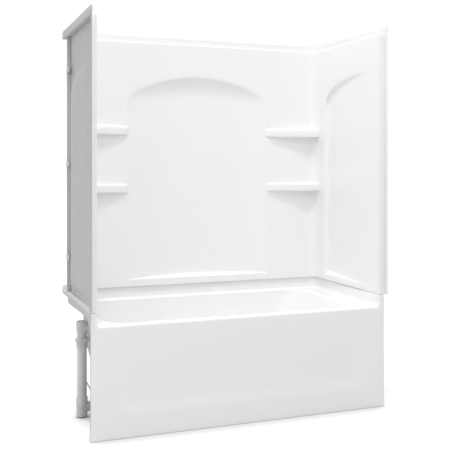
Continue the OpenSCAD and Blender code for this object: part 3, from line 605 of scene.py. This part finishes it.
BAY_HALF, BAY_SPRING, BAY_RISE, BAY_BOW, BAY_POWER = 0.418, 1.595, 0.153, 0.030, 1.72
BAY_FOOT_Z, BAY_RAMP, BAY_SOFFIT, BAY_SOFFIT_LEAST = 0.618, 0.024, 0.110, 0.3
BAY_STEP, BAY_EDGE_IN, BAY_REACH = 0.0015, 0.003, BAY_HALF + 0.001
WRAP_STEPS, FLANK_STEPS, BAY_STEPS = 14, 19, 96
TOP_SHARES, TOP_TURN, TOP_BEND_H = (0.5, 0.92, 1.0), 0.003, 0.010
SHELF_TOPS = (1.466, 1.148)
SHELF_T, SHELF_FRONT_Y = 0.048, FRONT + 0.662
SHELF_CORNER, SHELF_END_X = (0.438, BACK_Y - 0.014), 0.412
SHELF_TURN, SHELF_TOP_R, SHELF_FOOT_R, SHELF_ROOT = 0.016, 0.013, 0.003, 0.002
SHELF_LONG_STEPS, SHELF_TURN_STEPS, SHELF_END_STEPS, SHELF_CORNER_STEPS = 12, 8, 4, 11
SHELF_FOOT_STEPS, SHELF_TOP_STEPS = 3, 7


def bay_depth(x):
    bow = BAY_BOW - BAY_STEP
    radius = (BAY_HALF ** 2 + bow ** 2) / (2 * bow)
    curve = np.sqrt(radius ** 2 - np.asarray(x, float) ** 2) - (radius - bow)
    return (BAY_STEP + np.maximum(curve, 0)) * (1 - smooth(np.abs(x), BAY_HALF - BAY_EDGE_IN, BAY_REACH))


def bay_arch(x):
    t = np.clip(np.abs(x) / BAY_REACH, 0, 1)
    return BAY_SPRING + BAY_RISE * (1 - t ** BAY_POWER) ** (1 / BAY_POWER)


def wrap_plan():
    """The back wall's plan from its right joint round both corners to its left, and its ways outwards."""
    cx, cy = CORNER_AT
    half = [((SIDE_X + JOINT_R * (1 + math.cos(a)), SEAM_Y + JOINT_R * (1 + math.sin(a))), (1, 0))
            for a in turn(270, 180, EDGE_STEPS)]
    half += [((cx + CORNER_R * math.cos(a), cy + CORNER_R * math.sin(a)), (math.cos(a), math.sin(a)))
             for a in turn(0, 90, WRAP_STEPS)]
    half += [((x, BACK_Y), (0, 1)) for x in np.linspace(cx, BAY_REACH, FLANK_STEPS + 1)[1:]]
    bay = [((x, BACK_Y), (0, 1)) for x in BAY_REACH * np.sin(turn(90, -90, BAY_STEPS))[1:-1]]
    mirrored = [((-p[0], p[1]), (-o[0], o[1])) for p, o in half[::-1]]
    points, out = zip(*(half + bay + mirrored))
    return np.array(points), np.array(out)


def shelf_front():
    """The shelf's front in plan, from the side wall to its blunt end on the back wall."""
    start = np.array((SIDE_X + SHELF_ROOT, SHELF_FRONT_Y))
    corner, end = np.array(SHELF_CORNER), np.array((SHELF_END_X, BACK_Y))
    before, after = (corner + unit(p - corner) * SHELF_TURN for p in (start, end))
    t, to_bend, to_end = (np.linspace(0, 1, steps + 1)[:, None]
                          for steps in (SHELF_TURN_STEPS, SHELF_LONG_STEPS, SHELF_END_STEPS))
    bend = (1 - t) ** 2 * before + 2 * t * (1 - t) * corner + t ** 2 * after
    return np.concatenate([start + (before - start) * to_bend[:-1], bend,
                           after + (end - after) * to_end[1:]])


def shelf_mesh(top, side):
    """A corner shelf with a round upper edge along its front."""
    front = shelf_front()
    along = np.gradient(front, axis=0)
    inward = unit(np.column_stack([along[:, 1], -along[:, 0]]))
    (cx, cy), r = CORNER_AT, CORNER_R + SHELF_ROOT
    corner = [(cx + r * math.cos(a), cy + r * math.sin(a)) for a in turn(90, 0, SHELF_CORNER_STEPS)]
    corner.append((SIDE_X + SHELF_ROOT, SHELF_FRONT_Y))
    along_wall = len(front) - len(corner)
    foot = top - SHELF_T
    profile = [(SHELF_FOOT_R * (1 - math.sin(a)), foot + SHELF_FOOT_R * (1 - math.cos(a)))
               for a in turn(0, 90, SHELF_FOOT_STEPS)]
    profile += [(SHELF_TOP_R * (1 - math.cos(a)), top - SHELF_TOP_R * (1 - math.sin(a)))
                for a in turn(0, 90, SHELF_TOP_STEPS)]
    rows = []
    for inset, z in profile:
        plan = front + inward * inset
        plan[:, 1] = np.minimum(plan[:, 1], BACK_Y + SHELF_ROOT)
        root = [(x, BACK_Y + SHELF_ROOT) for x in np.linspace(plan[-1, 0], cx, along_wall + 1)[:-1]]
        rows.append(at_height(np.concatenate([plan, root, corner, plan[:1]]), z) * (side, 1, 1))
    sheet = Sheet()
    sheet.grid(rows)
    for row in (rows[0], rows[-1]):
        sheet.grid([row[:len(front)], row[len(front):-1][::-1]])
    return with_modifiers(sheet.mesh("shelf", rows[-1][:-1].mean(0), (0, 0, 1)))


def plate_mesh(name, outline, low_x, high_x, *modifiers):
    """A closed upright plate: an outline in Y and Z, thickened from low_x to high_x."""
    sheet = Sheet()
    a, b = ([(x, y, z) for y, z in outline] for x in (low_x, high_x))
    sheet.grid([a + a[:1], b + b[:1]])
    sheet.polygon(a)
    sheet.polygon(b)
    middle = np.mean(b, 0)
    mesh = sheet.mesh(name, middle, middle - np.mean(a, 0))
    return with_modifiers(mesh, *modifiers)


def joint_flange(side, low_y, high_y):
    """The bare strip behind an end wall's or the back wall's side of the seam."""
    near, far = sorted((side * (SIDE_X + JOINT_R), side * (SIDE_X + JOINT_OUT)))
    high = (far, high_y, WALL_TOP - JOINT_TOP_GAP)
    mesh = bar_mesh("joint_flange", (near, low_y, WALL_Z), high, JOINT_EDGE_R)
    mesh.polygons.foreach_set("material_index", [1] * len(mesh.polygons))
    return mesh


def make_back_wall(gloss, hidden):
    flat, out = wrap_plan()
    depth = np.where(out[:, 1] == 1, bay_depth(flat[:, 0]), 0.0)
    cove = BAY_SOFFIT * (BAY_SOFFIT_LEAST + (1 - BAY_SOFFIT_LEAST) * depth / depth.max())
    z, into = recess_rows(BAY_FOOT_Z, BAY_RAMP, bay_arch(flat[:, 0]), cove, depth)
    face = np.stack([np.broadcast_to(flat[:, 0], z.shape), flat[:, 1] + into, z], -1)
    rows = [at_height(flat + out * (JOINT_R + WALL_FOOT), WALL_Z)]
    rows += [at_height(flat + out * JOINT_R * (1 - math.sin(a)), WALL_Z + JOINT_R * (1 - math.cos(a)))
             for a in turn(0, 90, JOINT_STEPS)[:-1]]
    rows += list(face)
    rows += [at_height(flat + out * TOP_R * (1 - math.cos(a)), WALL_TOP - TOP_R * (1 - math.sin(a)))
             for a in turn(0, 90, TOP_STEPS)[1:]]
    inner = rows[-1][:, :2]
    outer = to_rectangle(flat, HALF_L - WALL_SKIN, REAR - WALL_SKIN)
    rows += [at_height(inner + (outer - inner) * t, WALL_TOP) for t in TOP_SHARES]
    rows += [at_height(outer, z) for z in (WALL_TOP + TOP_TURN, TOP_Z - TOP_BEND_H, TOP_Z)]
    sheet = Sheet()
    sheet.grid(rows)
    mesh = sheet.mesh("back_wall_moulding", (0, BACK_Y, FACE_POINT_Z), (0, -1, 0))
    parts = [with_modifiers(mesh, wall(WALL_SKIN))]
    for side in (-1, 1):
        parts.append(joint_flange(side, SEAM_Y + HAIR, SEAM_Y + WALL_SKIN))
        parts += [shelf_mesh(top, side) for top in SHELF_TOPS]
    whole = joined("back_wall_moulding", *parts)
    piece("back_wall_moulding", whole, "unit", "moulding", gloss, hidden, stands_for=["back_wall"])


# The end walls

NICHE_FRONT, NICHE_BEND, NICHE_REAR = FRONT + 0.103, FRONT + 0.585, FRONT + 0.603
NICHE_STEP, NICHE_FALL = 0.034, 4.0
NICHE_SPRING, NICHE_RISE, NICHE_DEPTH = 1.616, 0.134, 0.018
NICHE_FOOT_Z, NICHE_RAMP, NICHE_SOFFIT = 0.613, 0.027, 0.035
NICHE_FRONT_STEPS, NICHE_ARCH_STEPS, NICHE_STEP_STEPS, NICHE_REAR_STEPS = 7, 48, 8, 7
NOSE_R, NOSE_STEPS, CORNER_SPREAD, CORNER_EDGE_STEPS = 0.006, 7, 0.7, 10
GROOVES_AT, GROOVE_DEPTH, GROOVE_HALF_W, GROOVE_STEPS = (0.0088, 0.0243), 0.0025, 0.0019, 8
RETURN_W, RETURN_FOOT_SHARE = END_W - WALL_SKIN, 0.9
FLANGE_OUT, FLANGE_R, FLANGE_R_STEPS, FLANGE_FOOT_R, FLANGE_LAP = 0.033, 0.020, 12, 0.004, 0.0035


def edge_profile():
    """The end wall's edge as (distance out of the edge, distance behind the face)."""
    points = [(NOSE_R * (math.sin(a) - 1), NOSE_R * (1 - math.cos(a))) for a in turn(0, 90, NOSE_STEPS)]
    for middle in GROOVES_AT:
        points += [(-GROOVE_DEPTH * (0.5 + 0.5 * math.cos(math.pi * t)), middle + GROOVE_HALF_W * t)
                   for t in np.linspace(-1, 1, GROOVE_STEPS + 1)]
    return points + [(0.0, RETURN_W)]


def end_wall_sheet(side):
    """An end wall's face with its recess, its foot, and its edge round the front and the top."""
    y_first, y_last = FRONT + NOSE_R, SEAM_Y - SEAM_GAP - JOINT_R
    y = np.concatenate([np.linspace(y_first, NICHE_FRONT, NICHE_FRONT_STEPS + 1)[:-1],
                        NICHE_FRONT + (NICHE_BEND - NICHE_FRONT) * np.sin(turn(0, 90, NICHE_ARCH_STEPS)),
                        np.linspace(NICHE_BEND, NICHE_REAR, NICHE_STEP_STEPS + 1)[1:],
                        np.linspace(NICHE_REAR, y_last, NICHE_REAR_STEPS + 1)[1:]])
    reach = np.clip((y - NICHE_FRONT) / (NICHE_BEND - NICHE_FRONT), 0, 1)
    step = 1 - smooth(y, NICHE_REAR - NICHE_STEP, NICHE_REAR)
    past_bend = np.clip(y - NICHE_BEND, 0, NICHE_REAR - NICHE_BEND)
    arch = NICHE_SPRING + NICHE_RISE * np.sqrt(1 - reach ** 2) - NICHE_FALL * past_bend
    z, into = recess_rows(NICHE_FOOT_Z, NICHE_RAMP, arch, NICHE_SOFFIT, NICHE_DEPTH * reach * step)
    sheet = Sheet()

    def place(h, y, z):
        return np.stack(np.broadcast_arrays(side * (SIDE_X + np.asarray(h)), y, z), -1)

    face = [place(into[:, i], y[i], z[:, i]) for i in range(len(y))]
    face += [place(JOINT_R * (1 - math.cos(a)), y_last + JOINT_R * math.sin(a), z[:, -1])
             for a in turn(0, 90, EDGE_STEPS)[1:]]
    sheet.grid(face)
    foot = [place(JOINT_R * (1 - math.cos(a)), y, WALL_Z + JOINT_R * (1 - math.sin(a)))
            for a in turn(0, 90, JOINT_STEPS)]
    sheet.grid(foot + [place(WALL_FOOT, y, WALL_Z)])
    rows = []
    rise, run = z[:, 0], y
    arc = turn(180, 90, CORNER_EDGE_STEPS)[1:-1]
    for p, h in edge_profile():
        r = NOSE_R + CORNER_SPREAD * max(0.0, h - NOSE_R)
        low, high = WALL_Z + JOINT_R - min(h, JOINT_R) * RETURN_FOOT_SHARE, WALL_TOP - r
        start, end = FRONT + r, y_last + min(h, JOINT_R)
        up = low + (rise - rise[0]) * (high - low) / (rise[-1] - rise[0])
        along = start + (run - run[0]) * (end - start) / (run[-1] - run[0])
        bend = place(h, start + (r + p) * np.cos(arc), high + (r + p) * np.sin(arc))
        rows.append(np.concatenate([place(h, FRONT - p, up), bend, place(h, along, WALL_TOP + p)]))
    sheet.grid(rows)
    return sheet


def make_end_wall(name, side, node, gloss, hidden):
    mesh = end_wall_sheet(side).mesh(name, (side * SIDE_X, 0, FACE_POINT_Z), (-side, 0, 0))
    parts = [with_modifiers(mesh, wall(WALL_SKIN))]
    y0, y1 = FRONT - FLANGE_OUT, SEAM_Y - SEAM_GAP
    front_in, top_in = FRONT + FLANGE_LAP, WALL_TOP - FLANGE_LAP
    outline = [(front_in, WALL_Z)]
    outline += [(y0 + FLANGE_FOOT_R * (1 - math.sin(a)), WALL_Z + FLANGE_FOOT_R * (1 - math.cos(a)))
                for a in turn(0, 90, EDGE_STEPS)]
    outline += [(y0 + FLANGE_R * (1 - math.cos(a)), TOP_Z - FLANGE_R * (1 - math.sin(a)))
                for a in turn(0, 90, FLANGE_R_STEPS)]
    outline += [(y1, TOP_Z), (y1, top_in), (front_in, top_in)]
    inner, outer = sorted((side * (HALF_L - WALL_SKIN), side * (HALF_L - HAIR)))
    flange = plate_mesh("nailing_flange", outline, inner, outer, rounding(FLANGE_EDGE_R))
    back_finish_and_ledge_shade(flange)
    parts += [flange, joint_flange(side, y1 - WALL_SKIN, y1 - HAIR)]
    piece(name, joined(name, *parts), "unit", "moulding", gloss, hidden, stands_for=[node])


# Small pieces, from merged copies of the CAD meshes

def merged_copy(node):
    """A node's mesh in the row frame, with its points merged and its flat faces whole."""
    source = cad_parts[node]
    bm = bmesh.new()
    bm.from_mesh(source.data)
    bm.transform(source.matrix_world)
    bmesh.ops.remove_doubles(bm, verts=bm.verts, dist=WELD)
    bmesh.ops.dissolve_limit(bm, angle_limit=FLAT, verts=bm.verts, edges=bm.edges)
    return mesh_from(bm, node)


def dressed(node, body, slot, material, *modifiers):
    """Shows a node with softened edges and its own finish."""
    mesh = with_modifiers(merged_copy(node), *modifiers)
    piece(node + "_finished", mesh, body, slot, material, stands_for=[node])


# Materials

class Shade:
    """A value in a material. Arithmetic on it makes the nodes."""

    def __init__(self, material, socket):
        self.material, self.socket = material, socket

    def _maths(self, operation, *values):
        return self.material.node("Math", {"operation": operation}, *values)

    def __add__(self, other):
        return self._maths("ADD", self, other)

    def __sub__(self, other):
        return self._maths("SUBTRACT", self, other)

    def __rsub__(self, other):
        return self._maths("SUBTRACT", other, self)

    def __mul__(self, other):
        return self._maths("MULTIPLY", self, other)

    def __pow__(self, other):
        return self._maths("POWER", self, other)

    def at_most(self, other):
        return self._maths("MINIMUM", self, other)

    def at_least(self, other):
        return self._maths("MAXIMUM", self, other)


class Material:
    """A procedural material around one Principled shader."""

    def __init__(self, name, **settings):
        self.material = bpy.data.materials.new(name)
        self.material.use_nodes = True
        self.tree = self.material.node_tree
        self.shader = self.tree.nodes["Principled BSDF"]
        for key, value in settings.items():
            self.shader.inputs[key.replace("_", " ")].default_value = value

    def node(self, kind, settings, *values, out=0, **named):
        n = self.tree.nodes.new("ShaderNode" + kind)
        for key, value in settings.items():
            setattr(n, key, value)
        pairs = list(enumerate(values)) + [(key.replace("_", " "), value) for key, value in named.items()]
        for key, value in pairs:
            if isinstance(value, Shade):
                self.tree.links.new(value.socket, n.inputs[key])
            else:
                n.inputs[key].default_value = value
        return Shade(self, n.outputs[out])

    def noise(self, scale, detail=2.0, stretch=None):
        place = self.node("TexCoord", {}, out="Object")
        if stretch:
            place = self.node("Mapping", {}, Vector=place, Scale=stretch)
        return self.node("TexNoise", {}, Vector=place, Scale=scale, Detail=detail)

    def mix(self, share, low, high):
        return self.node("Mix", {"data_type": "RGBA"}, out=2, Factor=share, A=low, B=high)

    def drive(self, name, value):
        self.tree.links.new(value.socket, self.shader.inputs[name])

    def bump(self, height, strength, distance):
        bump = self.node("Bump", {}, Height=height, Strength=strength, Distance=distance)
        self.drive("Normal", bump)


# Moulded plastic

GELCOAT_DIM, GELCOAT_CLEAR = (0.938, 0.939, 0.942, 1), (0.958, 0.958, 0.958, 1)
GELCOAT_FLANGE_SHADE = (0.87, 0.87, 0.87, 1)
GELCOAT_PATCH, GELCOAT_HAZE, GELCOAT_RIPPLE = 2.2, 9.0, 160.0
GELCOAT_ROUGHNESS, HAZE_ROUGHNESS, TRIM_ROUGHNESS = 0.17, 0.10, 0.3
TRIM_FADE = 0.004
LAMINATE_DIM, LAMINATE_CLEAR = (0.545, 0.545, 0.55, 1), (0.625, 0.625, 0.625, 1)
LAMINATE_MOTTLE, LAMINATE_FIBRE, FIBRE_STRETCH = 14.0, 220.0, (1.0, 1.0, 0.35)


def moulding_face():
    """Glossy gelcoat, faintly patchy, and duller on the nailing flange above the trim line, where painted
    shade also makes it a darker grey.
    """
    m = Material("gelcoat", Base_Color=GELCOAT_DIM, Roughness=GELCOAT_ROUGHNESS, IOR=1.5)
    surface = m.mix(m.noise(GELCOAT_PATCH, 3.0), GELCOAT_DIM, GELCOAT_CLEAR)
    height = m.node("SeparateXYZ", {}, m.node("TexCoord", {}, out="Object"), out=2)
    above_trim_shade_and_satin = ((height - (WALL_TOP - TRIM_FADE)) * (1 / TRIM_FADE)).at_least(0.0).at_most(1.0)
    # Painted shade: the gelcoat above the trim line is mixed towards a darker grey.
    m.drive("Base Color", m.mix(above_trim_shade_and_satin, surface, GELCOAT_FLANGE_SHADE))
    haze = m.noise(GELCOAT_HAZE, 4.0) * HAZE_ROUGHNESS
    m.drive("Roughness", haze + above_trim_shade_and_satin * TRIM_ROUGHNESS + GELCOAT_ROUGHNESS)
    m.bump(m.noise(GELCOAT_RIPPLE), strength=0.10, distance=0.0004)
    return m.material


def moulding_back():
    """Dull laminate with a mottle and a fine fibre."""
    m = Material("laminate", Base_Color=LAMINATE_DIM, Roughness=0.85, Specular_IOR_Level=0.12)
    m.drive("Base Color", m.mix(m.noise(LAMINATE_MOTTLE, 5.0), LAMINATE_DIM, LAMINATE_CLEAR))
    m.bump(m.noise(LAMINATE_FIBRE, 6.0, FIBRE_STRETCH), strength=0.35, distance=0.0008)
    return m.material


gelcoat, laminate = moulding_face(), moulding_back()
make_tub(gelcoat, laminate)
make_back_wall(gelcoat, laminate)
make_end_wall("left_wall_moulding", -1, "left_wall", gelcoat, laminate)
make_end_wall("right_wall_moulding", 1, "right_wall", gelcoat, laminate)


# Fittings' finishes

MOTTLE, GRAIN, FINE_GRAIN = 30.0, 60.0, 12
BRUSH_MARKS, RUBBER_CLOUD, RUBBER_GRAIN = 90.0, 80.0, 900.0
PLASTIC_SWING, PLASTIC_DROP, METAL_SWING, METAL_DROP = 0.15, 0.07, 0.12, 0.05


def plastic(name, dark, light, roughness, grain=GRAIN):
    """A moulded plastic with a faint mottle and a fine grain."""
    m = Material(name, Roughness=roughness)
    m.drive("Base Color", m.mix(m.noise(MOTTLE, 4.0), (*dark, 1), (*light, 1)))
    m.drive("Roughness", m.noise(grain, 3.0) * PLASTIC_SWING + (roughness - PLASTIC_DROP))
    m.bump(m.noise(grain * FINE_GRAIN, 3.0), strength=0.25, distance=0.0002)
    return m.material


def metal(name, dark, light, roughness, brush):
    """A metal with fine marks along its brushed way."""
    m = Material(name, Metallic=1.0, Roughness=roughness)
    marks = m.noise(BRUSH_MARKS, 4.0, brush)
    m.drive("Base Color", m.mix(marks, (*dark, 1), (*light, 1)))
    m.drive("Roughness", marks * METAL_SWING + (roughness - METAL_DROP))
    m.bump(marks, strength=0.10, distance=0.0001)
    return m.material


def rubber(name, dark, light):
    """A dull rubber or foam with a clouded tone."""
    m = Material(name, Roughness=0.8)
    m.drive("Base Color", m.mix(m.noise(RUBBER_CLOUD, 5.0), (*dark, 1), (*light, 1)))
    m.bump(m.noise(RUBBER_GRAIN, 4.0), strength=0.4, distance=0.0002)
    return m.material


pipe_plastic = plastic("pipe_plastic", (0.72, 0.72, 0.72), (0.80, 0.80, 0.80), 0.45)
fitting_plastic = plastic("fitting_plastic", (0.66, 0.66, 0.65), (0.74, 0.74, 0.73), 0.40, 40.0)
clip_plastic = plastic("clip_plastic", (0.50, 0.50, 0.50), (0.58, 0.58, 0.57), 0.45)
foot_plastic = plastic("foot_plastic", (0.50, 0.50, 0.49), (0.58, 0.58, 0.57), 0.6)
inner_plastic = plastic("inner_plastic", (0.70, 0.70, 0.69), (0.78, 0.78, 0.77), 0.4)
chrome = metal("chrome", (0.76, 0.76, 0.78), (0.84, 0.84, 0.85), 0.10, (1.0, 1.0, 1.0))
steel = metal("steel", (0.56, 0.56, 0.57), (0.66, 0.66, 0.67), 0.30, (1.0, 6.0, 1.0))
brass = metal("brass", (0.64, 0.48, 0.24), (0.74, 0.58, 0.32), 0.25, (6.0, 1.0, 1.0))
seal_rubber = rubber("seal_rubber", (0.10, 0.10, 0.10), (0.14, 0.14, 0.14))
wall_seal_foam = rubber("wall_seal_foam", (0.72, 0.72, 0.72), (0.78, 0.78, 0.78))
pad_rubber = rubber("pad_rubber", (0.06, 0.06, 0.06), (0.10, 0.10, 0.10))
sheath = rubber("cable_sheath", (0.26, 0.26, 0.26), (0.34, 0.34, 0.34))

FITTINGS = {
    "left_wall_clips": ("unit", "clip", clip_plastic, rounding(0.0008)),
    "right_wall_clips": ("unit", "clip", clip_plastic, rounding(0.0008)),
    "wall_seal": ("unit", "seal", wall_seal_foam, rounding(0.0004, 1)),
    "support_feet": ("unit", "foot", foot_plastic, rounding(0.0015)),
    "foot_pads": ("unit", "pad", pad_rubber, rounding(0.0006)),
    "overflow_elbow": ("unit", "pipe", fitting_plastic, rounding(0.0012)),
    "overflow_gasket": ("unit", "seal", seal_rubber, rounding(0.0004)),
    "overflow_plate": ("unit", "chrome_trim", chrome, rounding(0.0008)),
    "overflow_screws": ("unit", "screw", steel, rounding(0.0005)),
    "overflow_knob": ("knob", "chrome_trim", chrome, rounding(0.0012, 3)),
    "knob_shaft": ("knob", "brass_part", brass, rounding(0.0004)),
    "cable_crank": ("knob", "inner_plastic", inner_plastic, rounding(0.0005)),
    "overflow_nut": ("unit", "pipe", fitting_plastic, rounding(0.0008)),
    "overflow_washer": ("unit", "seal", seal_rubber, rounding(0.0003)),
    "overflow_hub": ("unit", "pipe", fitting_plastic, rounding(0.0006)),
    "overflow_pipe": ("unit", "pipe", pipe_plastic, rounding(0.0004)),
    "waste_tee": ("unit", "pipe", fitting_plastic, rounding(0.0010)),
    "waste_coupling": ("unit", "pipe", fitting_plastic, rounding(0.0010)),
    "waste_pipe": ("unit", "pipe", pipe_plastic, rounding(0.0004)),
    "drain_shoe": ("unit", "pipe", fitting_plastic, rounding(0.0010)),
    "shoe_gasket": ("unit", "seal", seal_rubber, rounding(0.0004)),
    "drain_flange": ("unit", "chrome_trim", chrome, rounding(0.0006)),
    "stopper_cap": ("stopper", "chrome_trim", chrome, rounding(0.0012, 3)),
    "stopper_seal": ("stopper", "seal", seal_rubber, rounding(0.0004)),
    "stopper_stem": ("stopper", "brass_part", brass, rounding(0.0004)),
    "lift_plunger": ("stopper", "inner_plastic", inner_plastic, rounding(0.0005)),
    "drain_cable": ("unit", "cable", sheath, ("SUBSURF", dict(levels=2, render_levels=2))),
    "cable_nuts": ("unit", "inner_plastic", inner_plastic, rounding(0.0005)),
}
for node, dressing in FITTINGS.items():
    dressed(node, *dressing)


# Grip ribs round the slip nut

RIB_COUNT, RIB_SIDES, RIB_R, RIB_PROUD, RIB_END, RIB_EDGE_R = 24, 12, 0.0014, 0.0015, 0.003, 0.0003
RIB_INPUTS = {"Ribs": "Int", "Ring Radius": "Float", "Rib Radius": "Float", "Rib Height": "Float",
              "Place": "Vector", "Finish": "Material"}


def rib_ring_tree():
    """A node tree with upright round ribs in a ring."""
    tree = bpy.data.node_groups.new("rib_ring", "GeometryNodeTree")
    for name, kind in RIB_INPUTS.items():
        tree.interface.new_socket(name, in_out="INPUT", socket_type="NodeSocket" + kind)
    tree.interface.new_socket("Geometry", in_out="OUTPUT", socket_type="NodeSocketGeometry")
    kinds = {"given": "NodeGroupInput", "ring": "GeometryNodeMeshCircle", "rib": "GeometryNodeMeshCylinder",
             "placed": "GeometryNodeTransform", "ribs": "GeometryNodeInstanceOnPoints",
             "real": "GeometryNodeRealizeInstances", "finished": "GeometryNodeSetMaterial",
             "out": "NodeGroupOutput"}
    nodes = {name: tree.nodes.new(kind) for name, kind in kinds.items()}
    nodes["rib"].inputs["Vertices"].default_value = RIB_SIDES
    for source, socket, target, name in (
            ("given", "Ribs", "ring", "Vertices"), ("given", "Ring Radius", "ring", "Radius"),
            ("given", "Rib Radius", "rib", "Radius"), ("given", "Rib Height", "rib", "Depth"),
            ("ring", "Mesh", "placed", "Geometry"), ("given", "Place", "placed", "Translation"),
            ("placed", "Geometry", "ribs", "Points"), ("rib", "Mesh", "ribs", "Instance"),
            ("ribs", "Instances", "real", "Geometry"), ("real", "Geometry", "finished", "Geometry"),
            ("given", "Finish", "finished", "Material"), ("finished", "Geometry", "out", "Geometry")):
        tree.links.new(nodes[source].outputs[socket], nodes[target].inputs[name])
    return tree


def make_nut_ribs(finish):
    low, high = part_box("overflow_nut")
    radius = (high.x - low.x) / 2 + RIB_PROUD - RIB_R
    tree = rib_ring_tree()
    obj = new_object("rib_ring", bpy.data.meshes.new("rib_ring"))
    ribs = obj.modifiers.new("Ribs", "NODES")
    ribs.node_group = tree
    values = dict(zip(RIB_INPUTS, (RIB_COUNT, radius, RIB_R, high.z - low.z - 2 * RIB_END,
                                   tuple((low + high) / 2), finish)))
    for socket in tree.interface.items_tree:
        if socket.in_out == "INPUT":
            ribs[socket.identifier] = values[socket.name]
    mesh = with_modifiers(applied(obj, "overflow_nut_ribs"), rounding(RIB_EDGE_R))
    piece("overflow_nut_ribs", mesh, "unit", "pipe", finish)


make_nut_ribs(fitting_plastic)


# Light, floor and camera

LIGHT_MEAN, LIGHT_FRONT, LIGHT_LEFT, LIGHT_UP = 0.685, -0.45, -0.02, 0.45
BACKDROP_WHITE = 1.02
LAMPS = {"key": dict(place=(-1.2, -2.2, 8.2), size=1.2, power=212),
         "front": dict(place=(-0.6, -3.4, 4.6), size=1.6, power=28),
         "side": dict(place=(-5.6, -7.0, 2.4), size=1.6, power=26)}
LAMP_TARGET = (0, 0, 0.9)
FLOOR_REACH, FLOOR_GREY, FLOOR_LIFT = 40, (0.55, 0.55, 0.55, 1), 0.52
PAINTED_SHADOW_REACH, PAINTED_SHADOW_POWER = 0.13, 1.7

# The camera, solved from the photograph's own straight lines
CAMERA_PLACE, CAMERA_YAW = (-1.4605, FRONT - 3.5062, 1.2311), -20.93
SENSOR_W, LENS, SHIFT_UP = 36, 62.832, -0.1253


class Sky(Material):
    """The world's nodes, with the same arithmetic."""

    def __init__(self, name):
        self.material = bpy.data.worlds.new(name)
        self.material.use_nodes = True
        self.tree = self.material.node_tree
        bpy.context.scene.world = self.material


def seen_directly(nodes):
    """1 for what the camera, gloss and glass see, and 0 for what lights the object."""
    camera_ray, glossy_ray, through_ray = (nodes.node("LightPath", {}, out=name) for name in
                                           ("Is Camera Ray", "Is Glossy Ray", "Is Transmission Ray"))
    return camera_ray.at_least(glossy_ray).at_least(through_ray)


def make_sky():
    """A world that looks white, and lights the object more from behind and from above."""
    sky = Sky("studio")
    way = sky.node("TexCoord", {}, out="Generated")
    x, y, z = (sky.node("SeparateXYZ", {}, way, out=i) for i in range(3))
    level = (LIGHT_MEAN - y * LIGHT_FRONT - x * LIGHT_LEFT + z * LIGHT_UP).at_least(0.0)
    soft = sky.node("Background", {}, (1, 1, 1, 1), level)
    white = sky.node("Background", {}, (1, 1, 1, 1), BACKDROP_WHITE)
    both = sky.node("MixShader", {}, seen_directly(sky), soft, white)
    sky.tree.links.new(both.socket, sky.tree.nodes["World Output"].inputs["Surface"])


def lamp(name, place, size, power):
    light = bpy.data.lights.new(name, "AREA")
    light.shape = "DISK"
    light.size = size
    light.energy = power
    obj = new_object(name, light)
    obj.location = place
    obj.rotation_euler = (Vector(LAMP_TARGET) - Vector(place)).to_track_quat("-Z", "Y").to_euler()


def make_floor():
    """A white floor with a painted contact shadow: its glow darkens close under the object."""
    mesh = bpy.data.meshes.new("studio_floor")
    corners = [(x * FLOOR_REACH, y * FLOOR_REACH, 0) for x, y in ((-1, -1), (1, -1), (1, 1), (-1, 1))]
    mesh.from_pydata(corners, [], [(0, 1, 2, 3)])
    floor = new_object("studio_floor", mesh)
    paint = Material("floor_white", Base_Color=FLOOR_GREY, Roughness=1.0, Specular_IOR_Level=0.0)
    # Painted shadow: ambient occlusion dims the floor's glow near the object.
    painted_shadow_open_share = paint.node("AmbientOcclusion", {}, out=1, Distance=PAINTED_SHADOW_REACH)
    paint.drive("Emission Color", seen_directly(paint) * painted_shadow_open_share ** PAINTED_SHADOW_POWER)
    paint.shader.inputs["Emission Strength"].default_value = FLOOR_LIFT
    mesh.materials.append(paint.material)


make_sky()
for name, settings in LAMPS.items():
    lamp(name, **settings)
make_floor()

camera = new_object("photo_camera", bpy.data.cameras.new("photo_camera"))
bpy.context.scene.camera = camera
camera.location = CAMERA_PLACE
camera.rotation_euler = (math.radians(90), 0, math.radians(CAMERA_YAW))
camera.data.sensor_width = SENSOR_W
camera.data.lens = LENS
camera.data.shift_y = SHIFT_UP
bpy.context.scene.view_settings.view_transform = "Standard"
